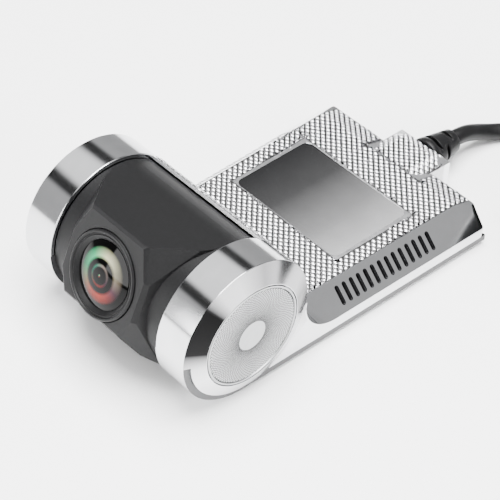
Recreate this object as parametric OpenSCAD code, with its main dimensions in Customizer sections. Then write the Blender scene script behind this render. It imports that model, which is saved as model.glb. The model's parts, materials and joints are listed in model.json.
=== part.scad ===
// Stick-on dash camera: a tilting lens barrel between two chromed end rings, and a flat
// body behind it with a knurled cover, side vents and a moulded-on USB lead.
// Units are millimetres. +X runs along the barrel to the button end, -Y is the way that the
// lens looks and +Z is up. The origin is the centre of the adhesive pad's outer face.

/* [Barrel rings] */
// Radius of the end rings round the barrel axis
ring_r = 15; // [14:0.5:18]
// Length of each ring along the barrel
ring_w = 7.6; // [6.5:0.1:10]
// Wall of the ring
ring_wall = 2.4; // [2:0.1:3]
// Thickness of the ring's inner web, which carries the pivot
web_t = 1.5; // [1:0.1:2.5]
// Length of the bevel at the outer end, along the barrel
bevel_w = 1.7; // [1:0.1:2.5]
// Radius of the round end plates
cap_r = 10.75; // [9:0.25:12]
// Gap all round each end plate
cap_gap = 0.15; // [0.1:0.05:0.3]

/* [Camera head] */
// Length of the turning drum
drum_l = 30.2; // [29:0.1:40]
// Gap between the drum's ends and the rings
head_gap = 0.2; // [0.1:0.05:0.4]
// Radial gap between the drum and the body's cradle
drum_gap = 0.4; // [0.3:0.05:0.8]
// Wall of the drum's two shells
shell_t = 1.3; // [1:0.1:1.6]
// Height of the lens axis above the horizontal as it stands, in degrees
tilt = 23.3; // [0:0.1:40]
// Distance from the barrel axis to the front face
face_d = 16; // [15.5:0.1:17]
// Height of the front face above the lens axis
face_up = 10.5; // [10:0.1:11]
// Depth of the front face below the lens axis
face_down = 7.9; // [7:0.1:8.5]
// Width of the front face
face_w = 21.2; // [20:0.1:24]
// Radius of the hollow pivot journals
journal_r = 4; // [3:0.1:5]
// Bore of the pivot journals, where the ribbon passes
journal_bore = 2.8; // [2:0.1:3]
// Radial running clearance of the journals
pivot_clear = 0.05; // [0.02:0.01:0.1]

/* [Lens] */
// Radius of the bezel round the lens
bezel_r = 8.5; // [8:0.1:8.6]
// Radius of the front glass
glass_r = 6.5; // [5.5:0.1:7]
// Radius of the threaded lens barrel
lens_r = 6; // [5:0.1:6.2]

/* [Body] */
// Distance from the barrel axis to the rear wall
body_l = 63.3; // [58:0.1:76]
// Height of the flat top above the underside
plate_h = 8.3; // [8:0.1:9.5]
// Thickness of the knurled cover
cover_t = 1.6; // [1.2:0.1:2]
// Length of the slope along the rear edge
slope_l = 4.6; // [3:0.1:6]
// Drop of that slope
slope_h = 1.3; // [0.8:0.1:2]
// How far the side slopes reach inwards
facet_run = 5; // [4:0.1:6]
// Angle by which the sides splay towards the rear, in degrees
flare = 1.1; // [0:0.1:2]
// Height of the bottom shell's rim
rim_h = 1.3; // [1.2:0.1:1.6]
// Thickness of the bottom shell's floor
floor_t = 1; // [0.8:0.1:1.2]
// Thickness of the adhesive foam pad
pad_t = 1; // [0.6:0.1:1.5]
// Number of vent slots in each side
vents = 14; // [8:1:14]
// Distance between vent slots
vent_pitch = 1.84; // [1.6:0.02:1.9]
// Width of a vent slot
vent_w = 0.95; // [0.7:0.05:1.1]
// Length of a vent slot
vent_l = 4.1; // [3:0.1:4.5]

/* [Inset panel] */
// Width of the glossy panel in the cover
panel_w = 28.8; // [20:0.1:30]
// Length of the glossy panel
panel_l = 19.7; // [15:0.1:21]
// Depth of the panel's face below the cover
panel_sink = 0.4; // [0.2:0.1:0.6]

/* [Lead] */
// Diameter of the USB lead
cable_d = 3.6; // [3:0.1:4]
// Position of the lead across the body
cable_x = 1.5; // [-2:0.5:3]
// Mean diameter of the stored coil
coil_d = 40; // [36:1:43]

/* [Hidden] */

$fn = 96;
e = 0.01;
big = 200;

chrome = [0.80, 0.81, 0.83];
knurl = [0.62, 0.63, 0.65];
satin_black = [0.12, 0.12, 0.13];
gloss_black = [0.03, 0.03, 0.035];
board_green = [0.05, 0.25, 0.15];
brass = [0.85, 0.65, 0.30];
steel = [0.70, 0.71, 0.73];
copper = [0.75, 0.45, 0.28];

// Frame of the barrel: every length below is counted from the barrel axis.
axis_y = -33.5;
axis_z = pad_t + ring_r;

// Rings, from the inner face x0 to the bevel x1 and the flat end x2
x0 = drum_l / 2 + head_gap;
x1 = x0 + ring_w;
x2 = x1 + bevel_w;
cap_bore = cap_r + cap_gap;
lip_r = cap_bore + 0.1;
ring_in = ring_r - ring_wall;
cap_back = x1 + 0.2;
bush_t = 1.15;
bush_r = journal_r + pivot_clear + bush_t;
bush_end = x0 + web_t + 0.8;
spring_t = 0.5;
clip_t = 0.5;
clip_x = bush_end + spring_t + 0.1;
journal_end = clip_x + clip_t + 0.6;
drum_r = ring_r - 0.6 - drum_gap;
cradle_r = drum_r + drum_gap;
travel = 0.5;

// Button's switch, above the pivot in the right ring
post_x = x0 + web_t + 3.2;
switch_x = post_x - 2.2;
switch_up = 9;

// Ribbon: out of the left pivot into the ring, down its chamber and back to the main board
ribbon_w = 3.4;
ribbon_t = 0.2;
ribbon_x = journal_end + 1;

// Body heights, counted from the barrel axis
under_z = -ring_r;
top_z = under_z + plate_h;
rim_z = under_z + rim_h;
floor_z = under_z + floor_t;
crease_z = rim_z + 2.1;
facet_drop = top_z - crease_z;
ceil_z = top_z - cover_t;
flat_l = body_l - slope_l;
wall_t = 1.2;
blend_out = 8;
blend_in = blend_out - facet_drop;
blend_z = crease_z + blend_out;
blend_out_y = sqrt(pow(ring_r + blend_out, 2) - pow(blend_z, 2));
blend_in_y = sqrt(pow(ring_r + blend_in, 2) - pow(blend_z, 2));
side_skin = wall_t * 1.3;
post_in = 2.7;
lip_a = 46;
vent_mid = 37.8;
panel_y = 40.3;
panel_corner = 1.6;
edge_gap = 0.05;

// Half width of the body at a distance y behind the axis, less an inset
function side_x(inset, y) = x1 - inset / cos(flare) + y * tan(flare);

// Tab at the rear that carries the lead
tab_l = body_l + 5.4;
tab_half = 6.9;
tab_slope = 2.4;
tab_drop = 1.2;
cable_r = cable_d / 2;
cable_z = under_z + 4.2;
boot_neck = cable_r + 0.9;
boot_base = cable_r + 2.1;
boot_tip = cable_r + 0.7;
boot_l = 8;
boot_end = tab_l + 0.1 + boot_l;
flange_r = boot_neck + 0.4;
flange_t = 1.3;
flange_y = tab_l - wall_t - 0.1;

// Head, in its own frame: the lens looks along -Y
end_in = drum_l / 2 - shell_t;
drum_in = drum_r - shell_t;
chin_d = 13.5;
chin_v = 10.7;
face_t = 2;
seat_d = 1.2;
bezel_bore = bezel_r + 0.2;
bezel_ledge = 7.6;
glass_d = face_d - 0.4;
lens_front = glass_d - 0.9;
lens_back = 5.4;
lens_wall = 1.1;
spacer_r = 3.4;
holder_d = [3.6, 10.5];
holder_half = 7.5;
board_d = 2;
board_t = 1;
sensor_w = 6.4;
sensor_h = 4.8;
sensor_t = 0.9;
boss_x = 10.6;
head_screw = [9, 9.4];
screw_r = 0.7;
head_screw_len = 11;

// Main board
mb_z = floor_z + 1.8;
mb_t = 1;
mb_top = mb_z + mb_t;
ribbon_z = mb_top + 0.2;
mb_x = 16.3;
mb_y0 = 21.5;
notch_x = [cable_x - 6.7, cable_x + 6.7];
mb_y1 = body_l - wall_t - 1;
notch_y = mb_y1 - 10.5;
board_posts = [[-14.2, mb_y0 + 2.5], [14.2, mb_y0 + 2.5], [14.2, mb_y1 - 3], [-14.2, mb_y0 + 20]];
case_posts_y = [blend_out_y, body_l - 4.5];
ribbon_plug = [9.2, mb_y0 + 1.2];
cover_posts = [[-5.5, 18.6], [5.5, 18.6]];
card = [11, 15, 0.8];
card_x = -11.3;
card_z = mb_top + 0.9;
card_rest = body_l - 0.5;
socket_y = card_rest - card[1] - 0.4;
clamp_y = mb_y1 - 5.5;
clamp_x = 4.6;

// The lead's route, from the boot to the coil, in the part's own frame
route = [[1.5, 43.3, 5.2], [1.5, 45, 5.2], [1.6, 48, 4.6], [2, 51, 3.5], [2.9, 54, 2.5],
    [4.4, 57, 2], [6.6, 59.8, 1.9], [9.8, 62.2, 1.9], [13.8, 63.9, 1.9], [18.2, 65.5, 1.9],
    [22.6, 67.2, 1.9], [27, 69, 1.9], [31.5, 70.8, 1.9], [36, 72.6, 1.9]];
cable_sides = 10;
// The lead, its coil and its plug move with the boot's end when the body's length changes
lead_shift = axis_y + boot_end - route[0][1];
coil_c = [52, 51.1];
coil_half = [7.8, 7.35];
plug_c = [69.4, 49.3, 2 * coil_half[1]];
plug_turn = 205;
plug_size = [16, 27, 7.6];
shell_size = [12, 18.75, 4.5];
shell_wall = 0.35;

module at_axis() { translate([0, axis_y, axis_z]) children(); }
// The head's own frame, turned up to the angle at which it stands
module in_head() { at_axis() rotate([-tilt, 0, 0]) children(); }
// A turned shape along +X, from points of [radius, x]
module turned_x(points) { rotate([0, 90, 0]) rotate_extrude() polygon(points); }
// A turned shape along -Y, from points of [radius, distance in front of the axis]
module turned_lens(points) { rotate([90, 0, 0]) rotate_extrude() polygon(points); }
module tube_x(r, a, b) { translate([a, 0, 0]) rotate([0, 90, 0]) cylinder(r = r, h = b - a); }
module rod_y(r, a, b) { translate([0, a, 0]) rotate([-90, 0, 0]) cylinder(r = r, h = b - a); }
module box(a, b) { translate(a) cube(b - a); }
// An outline drawn in Y and Z, and drawn out along X from a to b
module side_profile(a, b) {
    translate([a, 0, 0]) rotate([90, 0, 90]) linear_extrude(b - a) children();
}
module mirror_x(side) { mirror([side < 0 ? 1 : 0, 0, 0]) children(); }

// --- Side frames: end ring, sloped side and vents in one chromed moulding ---

module ring_body() {
    turned_x([[bush_r, x0], [ring_r, x0], [ring_r, x1], [lip_r, x2], [cap_bore, x2],
        [cap_bore, cap_back], [ring_in, cap_back], [ring_in, x0 + web_t], [bush_r, x0 + web_t]]);
}

// The frame of the splayed side: as the barrel's own frame at the axis, and turned outwards
module splayed() {
    translate([x1, 0, 0]) rotate([0, 0, -flare]) translate([-x1, 0, 0]) children();
}
// A section in X and Z, counted from the outer face, drawn out along the splayed side
module side_section(y0, y1, points) {
    splayed() translate([x1, y1, 0]) rotate([90, 0, 0]) linear_extrude(y1 - y0) polygon(points);
}

module side_wall() {
    slope_end = blend_out_y;
    ledge_in = [-facet_run - 1, 0.2 - facet_run];
    difference() {
        union() {
            side_section(slope_end, flat_l - wall_t - 0.5, [[ledge_in[0], ceil_z - edge_gap],
                [ledge_in[1], ceil_z - edge_gap], [ledge_in[1], ceil_z - 1], [ledge_in[0], ceil_z - 1]]);
            side_section(slope_end, body_l + 1, [[0, rim_z], [0, crease_z], [-facet_run, top_z],
                [-facet_run, top_z - side_skin], [-wall_t, crease_z - side_skin + wall_t],
                [-wall_t, rim_z]]);
            side_section(body_l - wall_t, body_l + 1, [[0, rim_z], [0, crease_z],
                [-facet_run, top_z], [-facet_run, rim_z]]);
            splayed() difference() {
                side_profile(x1 - facet_run, x1) polygon([[ring_r * 0.6, rim_z],
                    [ring_r * 0.6, 0], [blend_in_y, blend_z], [slope_end, blend_z],
                    [slope_end, rim_z]]);
                shoulder();
            }
        }
        side_section(0, slope_end + e, [[-big, rim_z - 1], [-big, top_z - side_skin],
            [-facet_run, top_z - side_skin], [-wall_t, crease_z - side_skin + wall_t],
            [-wall_t, rim_z - 1]]);
        tube_x(ring_r - 0.5, x0 - 1, big);
        box([0, body_l, -big], [big, big, big]);
        slope_cut(flat_l, slope_l, slope_h);
    }
}

// The hollow beside the ring's root: it follows the ring's back in a fillet that grows outwards,
// and runs on to the rear as the side slope
module shoulder() {
    beyond = 0.6;
    hull() {
        fillet_slab(x1 - facet_run - e, blend_in_y, blend_in);
        fillet_slab(x1 + beyond, blend_out_y, blend_out + beyond * facet_drop / facet_run);
    }
}
module fillet_slab(x, y, r) {
    side_profile(x, x + e) translate([y, blend_z]) union() {
        circle(r = r, $fn = 64);
        translate([0, -r]) square([ring_r, 2 * r]);
    }
}

module vent_cuts() {
    slope = atan2(facet_drop, facet_run);
    straight = (vent_l - vent_w) / 2;
    for (i = [0:vents - 1])
        splayed() translate([x1 - facet_run / 2, vent_mid + (i - (vents - 1) / 2) * vent_pitch,
            (top_z + crease_z) / 2]) rotate([0, slope, 0]) {
                for (end = [-1, 1]) translate([end * straight, 0, -3]) cylinder(d = vent_w, h = 6);
                translate([-straight, -vent_w / 2, -3]) cube([2 * straight, vent_w, 6]);
            }
}

// The room that the bottom shell's curved skin takes under the front of each ring
module skin_room(clear) {
    difference() {
        box([x0 - 1, -ring_r - 1, under_z - 1], [x1 + bevel_w + 1, 0, clear]);
        tube_x(ring_r - rim_h - clear, x0 - 2, x1 + bevel_w + 2);
    }
    difference() {
        box([x0 - 1, -e, under_z - 1], [x1 + bevel_w + 1, ring_r, rim_z + clear]);
        box([x0 - 2, -1, rim_z + clear], [x1 + bevel_w + 2, ring_r, 0]);
    }
}

// Posts that take the screws from below
module case_posts(r, z0, z1) {
    for (y = case_posts_y) translate([side_x(post_in, y), y, z0]) cylinder(r = r, h = z1 - z0);
}

module side_frame(side) {
    color(chrome) at_axis() mirror_x(side) difference() {
        union() {
            ring_body();
            side_wall();
            case_posts(1.7, rim_z, crease_z + 0.6);
        }
        case_posts(screw_r, rim_z - 1, rim_z + 3);
        vent_cuts();
        skin_room(0.001);
        tube_x(ring_in - e, x0 + web_t + e, cap_back - e);
        if (side < 0) box([ribbon_x - ribbon_w, 0, ribbon_z - 0.3],
            [ribbon_x + ribbon_t + 0.3, ring_r, ribbon_z + ribbon_t + 0.3]);
    }
}
module side_frame_left() { side_frame(-1); }
module side_frame_right() { side_frame(1); }

// --- Cover ---

// Outline of the body in plan, less an inset, from y0 to y1
module body_plan(inset, y0, y1) {
    polygon([[side_x(inset, y0), y0], [side_x(inset, y1), y1], [-side_x(inset, y1), y1],
        [-side_x(inset, y0), y0]]);
}
module tab_plan(inset, y1) {
    half = tab_half - inset;
    polygon([[cable_x - half - 2, flat_l - 1], [cable_x - half, body_l], [cable_x - half, y1],
        [cable_x + half, y1], [cable_x + half, body_l], [cable_x + half + 2, flat_l - 1]]);
}
// Half space above a plane that falls from (y, top_z) towards +Y
module slope_cut(y, run, drop) {
    translate([-big / 2, y, top_z]) rotate([-atan2(drop, run), 0, 0]) cube(big);
}

module knurled_cover() {
    color(knurl) at_axis() difference() {
        union() {
            difference() {
                cover_block();
                cover_hollow();
            }
            lip_wall();
            for (p = cover_posts) translate([p[0], p[1], floor_z])
                cylinder(r = 1.8, h = ceil_z - floor_z + e);
        }
        panel_pocket();
        for (p = cover_posts) translate([p[0], p[1], floor_z - 1]) cylinder(r = screw_r, h = 5);
        boot_room();
        box([card_x - card[0] / 2 - 0.3, flat_l, card_z - 0.2],
            [card_x + card[0] / 2 + 0.3, body_l + 1, card_z + card[2] + 0.2]);
    }
}
module cover_block() {
    difference() {
        translate([0, 0, rim_z]) linear_extrude(top_z - rim_z)
            body_plan(facet_run + edge_gap, blend_in_y - 1, body_l);
        slope_cut(flat_l, slope_l, slope_h);
    }
    difference() {
        translate([0, 0, rim_z]) linear_extrude(top_z - rim_z) tab_plan(0, tab_l);
        slope_cut(tab_l - tab_slope, tab_slope, tab_drop);
        for (s = [-1, 1]) translate([cable_x + s * (tab_half - tab_slope), 0, top_z])
            mirror_x(s) rotate([0, atan2(tab_drop, tab_slope), 0]) cube(big);
    }
}
// The room below the cover: open at the sides up to the rear wall, and a channel into the tab
module cover_hollow() {
    low = rim_z - 1;
    rear = body_l - wall_t;
    intersection() {
        side_profile(-big, big) polygon([[0, low], [0, ceil_z], [flat_l, ceil_z],
            [rear, ceil_z - slope_h * (slope_l - wall_t) / slope_l], [rear, low]]);
        union() {
            translate([0, 0, low]) linear_extrude(top_z - low)
                body_plan(facet_run + edge_gap + wall_t, 0, rear);
            translate([0, 0, low]) linear_extrude(top_z - low)
                body_plan(facet_run - 2, 0, flat_l - wall_t);
        }
    }
    box([cable_x - tab_half + wall_t, rear - 1, low],
        [cable_x + tab_half - wall_t, tab_l - wall_t, ceil_z - tab_drop]);
    box([cable_x - flange_r, rear - 1, low], [cable_x + flange_r, tab_l - wall_t, ceil_z]);
}
// The way out of the tab for the boot's neck, and the seat of its flange
module boot_room() {
    translate([cable_x, 0, cable_z]) {
        rod_y(boot_neck, flange_y, big);
        rod_y(flange_r, flange_y - flange_t, flange_y);
    }
}
module panel_pocket() {
    translate([0, panel_y, top_z - panel_sink - 0.6]) linear_extrude(5)
        rounded_plan(panel_w + 0.1, panel_l + 0.1, panel_corner);
}
module rounded_plan(w, l, r) {
    square([w - 2 * r, l], center = true);
    square([w, l - 2 * r], center = true);
    for (i = [-1, 1], j = [-1, 1]) translate([i * (w / 2 - r), j * (l / 2 - r)]) circle(r = r);
}
// The thin wall that follows the back of the drum, and its blend into the flat top
module lip_wall() {
    half = x0 - 0.05;
    reach = side_x(facet_run + edge_gap, ring_r * 0.6);
    difference() {
        tube_x(ring_r, -half, half);
        tube_x(cradle_r, -half - 1, half + 1);
        box([-big, -big, -big], [big, 0, big]);
        box([-big, -1, -big], [big, big, rim_z]);
        side_profile(-big, big) polygon([[-1, 0], [0, 0], [big * cos(lip_a), big * sin(lip_a)],
            [-1, big]]);
    }
    difference() {
        side_profile(-reach, reach) polygon([[ring_r - 2.5, ceil_z],
            [ring_r - 0.6, blend_z + 0.9], [blend_in_y, blend_z], [blend_in_y, ceil_z]]);
        side_profile(-big, big) translate([blend_in_y, blend_z]) circle(r = blend_in - 0.03);
        tube_x(ring_r - 0.3, -half - e, half + e);
        for (s = [-1, 1]) mirror_x(s) tube_x(ring_r + 0.02, half, big);
    }
}

module inset_panel() {
    color([0.55, 0.56, 0.58]) at_axis()
        translate([0, panel_y, top_z - panel_sink - 0.6]) linear_extrude(0.6)
            rounded_plan(panel_w, panel_l, panel_corner);
}

// --- Bottom shell and pad ---

module bottom_shell() {
    color(chrome) at_axis() difference() {
        union() {
            translate([0, 0, under_z]) linear_extrude(floor_t) body_plan(0, 0, body_l);
            translate([0, 0, under_z]) linear_extrude(rim_h) difference() {
                body_plan(0, 0, body_l);
                body_plan(1.2, -1, body_l - 1.2);
            }
            translate([0, 0, under_z]) linear_extrude(rim_h) difference() {
                tab_plan(0, tab_l);
                tab_plan(1.2, tab_l - 1.2);
                translate([-big / 2, 0]) square([big, body_l - 1.2]);
            }
            translate([0, 0, under_z]) linear_extrude(floor_t) tab_plan(0, tab_l);
            for (s = [-1, 1]) mirror_x(s) difference() {
                tube_x(ring_r, x0, x1);
                tube_x(ring_r - rim_h, x0 - 1, x1 + 1);
                box([-big, -big, 0], [big, big, big]);
                box([-big, 0, -big], [big, big, big]);
            }
            intersection() {
                difference() {
                    tube_x(ring_r, -x0, x0);
                    tube_x(cradle_r, -x0 - 1, x0 + 1);
                }
                box([-x0, -3, under_z], [x0, e, -ring_r * 0.8]);
            }
            for (p = board_posts) translate([p[0], p[1], under_z]) cylinder(r = 1.9, h = mb_z - under_z);
            for (s = [-1, 1]) translate([cable_x + s * clamp_x, clamp_y, under_z])
                cylinder(r = 1.6, h = cable_z - under_z);
        }
        tube_x(cradle_r, -x0, x0);
        for (s = [-1, 1]) mirror_x(s) tube_x(ring_r - rim_h, x0 - e, x1 + 1);
        box([x1, -big, -big], [big, 2, big]);
        mirror_x(-1) box([x1, -big, -big], [big, 2, big]);
        for (p = board_posts) translate([p[0], p[1], mb_z - 2.4]) cylinder(r = screw_r, h = 4);
        for (s = [-1, 1]) translate([cable_x + s * clamp_x, clamp_y, cable_z - 3])
            cylinder(r = screw_r, h = 4);
        for (s = [-1, 1], y = case_posts_y) screw_hole([s * side_x(post_in, y), y]);
        for (p = cover_posts) screw_hole(p);
        boot_room();
    }
}
module screw_hole(p) {
    translate([p[0], p[1], under_z - 1]) cylinder(r = screw_r, h = 4);
    translate([p[0], p[1], under_z - 1]) cylinder(r = 1.4, h = 1.6);
}

module adhesive_pad() {
    color([0.2, 0.2, 0.2]) linear_extrude(pad_t) rounded_plan(38, 54, 3);
}

// --- Ends of the barrel ---

cap_points = [[0, cap_back - 1.5], [ring_in - 0.3, cap_back - 1.5], [ring_in - 0.3, cap_back],
    [cap_r, cap_back], [cap_r, x2], [cap_r - 1, x2], [cap_r - 1, x2 - 0.15], [0, x2 - 0.15]];
module end_cap_left() { color(steel) at_axis() mirror_x(-1) turned_x(cap_points); }
module end_button() {
    color(steel) at_axis() {
        difference() {
            turned_x([for (p = cap_points) [p[0], p[1] - (p[1] == cap_back ? 0.05 : 0)]]);
            tube_x(ring_in - 2, cap_back - 2, cap_back - 0.9);
        }
        translate([0, 0, switch_up]) tube_x(1.4, post_x, cap_back - 0.5);
    }
}
module switch_plunger() {
    color(satin_black) at_axis() translate([0, 0, switch_up]) tube_x(1.1, post_x - 1.2, post_x);
}
module button_switch() {
    color(steel) at_axis() translate([0, 0, switch_up]) difference() {
        box([switch_x, -2.6, -2.6], [switch_x + 1.6, 2.6, 2.6]);
        tube_x(1.15, post_x - 1.2 - travel - 0.1, post_x + 1);
    }
}
module switch_board() {
    color(board_green) at_axis() difference() {
        tube_x(ring_in, switch_x - 0.8, switch_x);
        tube_x(switch_up - 2.8, switch_x - 2, switch_x + 1);
        box([switch_x - 2, -big, -big], [switch_x + 1, big, 0]);
    }
}

module pivot_bushes() {
    color(brass) at_axis() for (s = [-1, 1]) mirror_x(s)
        turned_x([[journal_r + pivot_clear, x0], [bush_r, x0], [bush_r, bush_end],
            [journal_r + pivot_clear, bush_end]]);
}
module friction_springs() {
    color(steel) at_axis() for (s = [-1, 1]) mirror_x(s)
        turned_x([[journal_r + 0.1, bush_end], [bush_r - 0.1, bush_end],
            [bush_r - 0.1, bush_end + spring_t], [journal_r + 0.1, bush_end + spring_t]]);
}
module pivot_journals() {
    color(steel) at_axis() for (s = [-1, 1]) mirror_x(s)
        turned_x([[journal_bore, end_in - 0.9], [journal_r + 1.4, end_in - 0.9],
            [journal_r + 1.4, end_in], [journal_r, end_in], [journal_r, clip_x],
            [journal_r - 0.4, clip_x], [journal_r - 0.4, clip_x + clip_t],
            [journal_r, clip_x + clip_t], [journal_r, journal_end], [journal_bore, journal_end]]);
}
module pivot_clips() {
    color(steel) at_axis() for (s = [-1, 1]) mirror_x(s) difference() {
        turned_x([[journal_r - 0.4, clip_x], [journal_r + 1.3, clip_x],
            [journal_r + 1.3, clip_x + clip_t], [journal_r - 0.4, clip_x + clip_t]]);
        box([clip_x - 1, -big, -1.2], [clip_x + 2, 0, 1.2]);
    }
}

// --- Camera head ---

// Point where the line from (d, v) touches the drum, above it (side 1) or below it (side -1)
function touch(d, v, r, side) = let (a = atan2(v, d) + side * acos(r / norm([d, v])))
    [r * cos(a), r * sin(a)];

// The nose: its side outline, cut by a block that widens from the eight-sided face to the drum
module nose(inset, r, grow) {
    d = face_d - (inset > 0 ? face_t : 0);
    up = face_up - inset;
    down = face_down - inset * 0.7;
    cd = chin_d - inset;
    cv = chin_v - inset;
    half = face_w / 2 - inset;
    edge = 0.8;
    t1 = touch(d, up, r, 1);
    t2 = touch(cd, -cv, r, -1);
    intersection() {
        side_profile(-grow, grow) polygon([[-d, up - 0.5], [-d + 0.5, up], [-t1[0], t1[1]],
            [0, 0], [-t2[0], t2[1]], [-cd, -cv], [-d, -down]]);
        hull() {
            face_slab(d, half - edge, up, down);
            face_slab(d - edge, half, up + edge / 2, down + edge);
            translate([0, -6, 0]) cube([2 * grow, e, 2 * drum_r + 2], center = true);
            translate([0, 0, 0]) cube([2 * grow, e, 2 * drum_r + 2], center = true);
        }
    }
}
// The face's outline: upright sides with a sloping corner above and below
module face_slab(d, half, up, down) {
    translate([0, e - d, 0]) rotate([90, 0, 0]) linear_extrude(e) polygon([
        [half, -3.9], [half, 4.3], [half - 2.8, up], [2.8 - half, up], [-half, 4.3],
        [-half, -3.9], [2.3 - half, -down], [half - 2.3, -down]]);
}
module head_bosses(y0, y1, r) {
    for (i = [-1, 1], j = [-1, 1]) translate([i * head_screw[0], 0, j * head_screw[1]]) rod_y(r, y0, y1);
}
module head_front_shell() {
    color(satin_black) in_head() difference() {
        union() {
            difference() {
                union() {
                    tube_x(drum_r, -drum_l / 2, drum_l / 2);
                    nose(0, drum_r, drum_l / 2 - 0.8);
                }
                difference() {
                    union() {
                        tube_x(drum_in, -end_in, end_in);
                        nose(shell_t, drum_in, end_in - 0.9);
                    }
                    head_bosses(-big, 1, 1.9);
                    for (s = [-1, 1]) translate([s * boss_x, 0, 0])
                        rod_y(1.7, -big, -board_d - board_t);
                }
            }
        }
        box([-big, 0, -big], [big, big, big]);
        turned_lens([[0, face_d - seat_d], [bezel_bore, face_d - seat_d], [bezel_bore, big], [0, big]]);
        turned_lens([[0, 4], [bezel_ledge, 4], [bezel_ledge, big], [0, big]]);
        tube_x(journal_r, -big, big);
        head_bosses(-5, 1, screw_r);
        for (s = [-1, 1]) translate([s * boss_x, 0, 0]) rod_y(screw_r, -board_d - board_t - 4, 0);
    }
}
module head_rear_shell() {
    color(satin_black) in_head() difference() {
        tube_x(drum_r, -drum_l / 2, drum_l / 2);
        difference() {
            tube_x(drum_in, -end_in, end_in);
            head_bosses(0, big, 1.9);
        }
        box([-big, -big, -big], [big, 0, big]);
        tube_x(journal_r, -big, big);
        head_bosses(-1, big, screw_r);
        head_bosses(head_screw_len - 5, big, 1.5);
    }
}
module head_screws() {
    color(steel) in_head() {
        head_bosses(-5, head_screw_len - 5, screw_r);
        head_bosses(head_screw_len - 5, head_screw_len - 4, 1.3);
    }
}
module lens_bezel() {
    color(satin_black) in_head() turned_lens([[glass_r + 0.05, face_d - seat_d],
        [bezel_r, face_d - seat_d], [bezel_r, face_d + 0.2], [bezel_r - 0.3, face_d + 0.4],
        [glass_r + 0.9, face_d - 0.1], [glass_r + 0.05, face_d - 0.5]]);
}

// A lens: within its clear radius the two faces bow forwards by back and front at the middle,
// and outside it they are flat seats
function bowed(r, d, bow) = [for (i = [0:8]) let (t = r * i / 8) [t, d + bow * (1 - pow(t / r, 2))]];
module glass_disc(r, clear, d0, d1, back, front) {
    turned_lens(concat(bowed(clear, d0, back), [[r, d0], [r, d1]],
        [for (i = [8:-1:0]) bowed(clear, d1, front)[i]]));
}
module front_glass() {
    color([0.25, 0.35, 0.3, 0.5]) in_head() glass_disc(glass_r, glass_r - 0.2, lens_front, glass_d, 0.3, 1.1);
}
module second_lens() {
    color([0.4, 0.5, 0.45, 0.5]) in_head() glass_disc(lens_r - lens_wall, spacer_r, 11.4, 12.6, -0.5, 0.6);
}
module rear_lens() {
    color([0.4, 0.5, 0.45, 0.5]) in_head() glass_disc(lens_r - lens_wall, spacer_r, 7.2, 8.8, -0.7, 0.5);
}
module lens_spacer() {
    color(gloss_black) in_head() turned_lens([[spacer_r, 8.8], [lens_r - lens_wall, 8.8],
        [lens_r - lens_wall, 11.4], [spacer_r + 0.6, 11.4]]);
}
module lens_barrel() {
    color(gloss_black) in_head() turned_lens([[lens_r - lens_wall - 0.9, lens_back],
        [lens_r, lens_back], [lens_r, 13], [bezel_ledge - 0.2, 13.4], [bezel_ledge - 0.2, lens_front],
        [lens_r - 0.6, lens_front], [lens_r - 0.9, 12.6], [lens_r - lens_wall, 12.6],
        [lens_r - lens_wall, 7.2], [lens_r - lens_wall - 0.9, 7.2]]);
}
module lens_holder() {
    color(satin_black) in_head() difference() {
        union() {
            box([-holder_half, -holder_d[0] - 2, -6.9], [holder_half, -board_d - board_t, 6.9]);
            turned_lens([[0, holder_d[0]], [lens_r + 1.2, holder_d[0]], [lens_r + 1.2, holder_d[1]],
                [0, holder_d[1]]]);
        }
        turned_lens([[0, 4.9], [lens_r, 4.9], [lens_r, big], [0, big]]);
        turned_lens([[0, 4.2], [3.8, 4.2], [3.8, 6], [0, 6]]);
        box([-3.6, -4.21, -3.6], [3.6, 0, 3.6]);
        for (s = [-1, 1]) translate([s * 6.2, 0, s * 5.6]) rod_y(0.6, -big, 0);
    }
}
module infrared_filter() {
    color([0.6, 0.3, 0.4, 0.5]) in_head() box([-3.6, -4.2, -3.6], [3.6, -3.95, 3.6]);
}
module image_sensor() {
    color(gloss_black) in_head() box([-sensor_w / 2, -board_d - board_t - sensor_t, -sensor_h / 2],
        [sensor_w / 2, -board_d - board_t, sensor_h / 2]);
}
module sensor_board() {
    color(board_green) in_head() difference() {
        box([-12.4, -board_d - board_t, -6.9], [12.4, -board_d, 6.9]);
        for (s = [-1, 1]) translate([s * boss_x, 0, 0]) rod_y(screw_r, -big, 0);
    }
}
module sensor_screws() {
    color(steel) in_head() for (s = [-1, 1]) translate([s * boss_x, 0, 0]) {
        rod_y(screw_r, -board_d - board_t - 3.5, -board_d);
        rod_y(1.3, -board_d, -board_d + 0.8);
    }
}
module ribbon_socket() {
    color([0.85, 0.83, 0.78]) in_head() box([-7, -board_d, -2], [7, -board_d + 1.4, 2]);
}
module sensor_ribbon() {
    color([0.75, 0.5, 0.2]) in_head()
        box([0.4 - end_in, 1.1 - board_d, -ribbon_w / 2], [-7, 1.1 - board_d + ribbon_t, ribbon_w / 2]);
}
module ribbon_cable() {
    far = ribbon_x + ribbon_t;
    half = ribbon_w / 2;
    turn_y = ribbon_plug[1] - 3;
    color([0.75, 0.5, 0.2]) at_axis() mirror_x(-1) {
        box([end_in + 0.5, -half, 0], [far, half, ribbon_t]);
        box([ribbon_x, -half, ribbon_z], [far, half, ribbon_t]);
        box([far - ribbon_w, -half, ribbon_z], [far, turn_y, ribbon_z + ribbon_t]);
        box([ribbon_plug[0] - half, turn_y - ribbon_w, ribbon_z], [far, turn_y, ribbon_z + ribbon_t]);
        box([ribbon_plug[0] - half, turn_y - ribbon_w, ribbon_z],
            [ribbon_plug[0] + half, ribbon_plug[1], ribbon_z + ribbon_t]);
    }
}

// --- Electronics in the body ---

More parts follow.
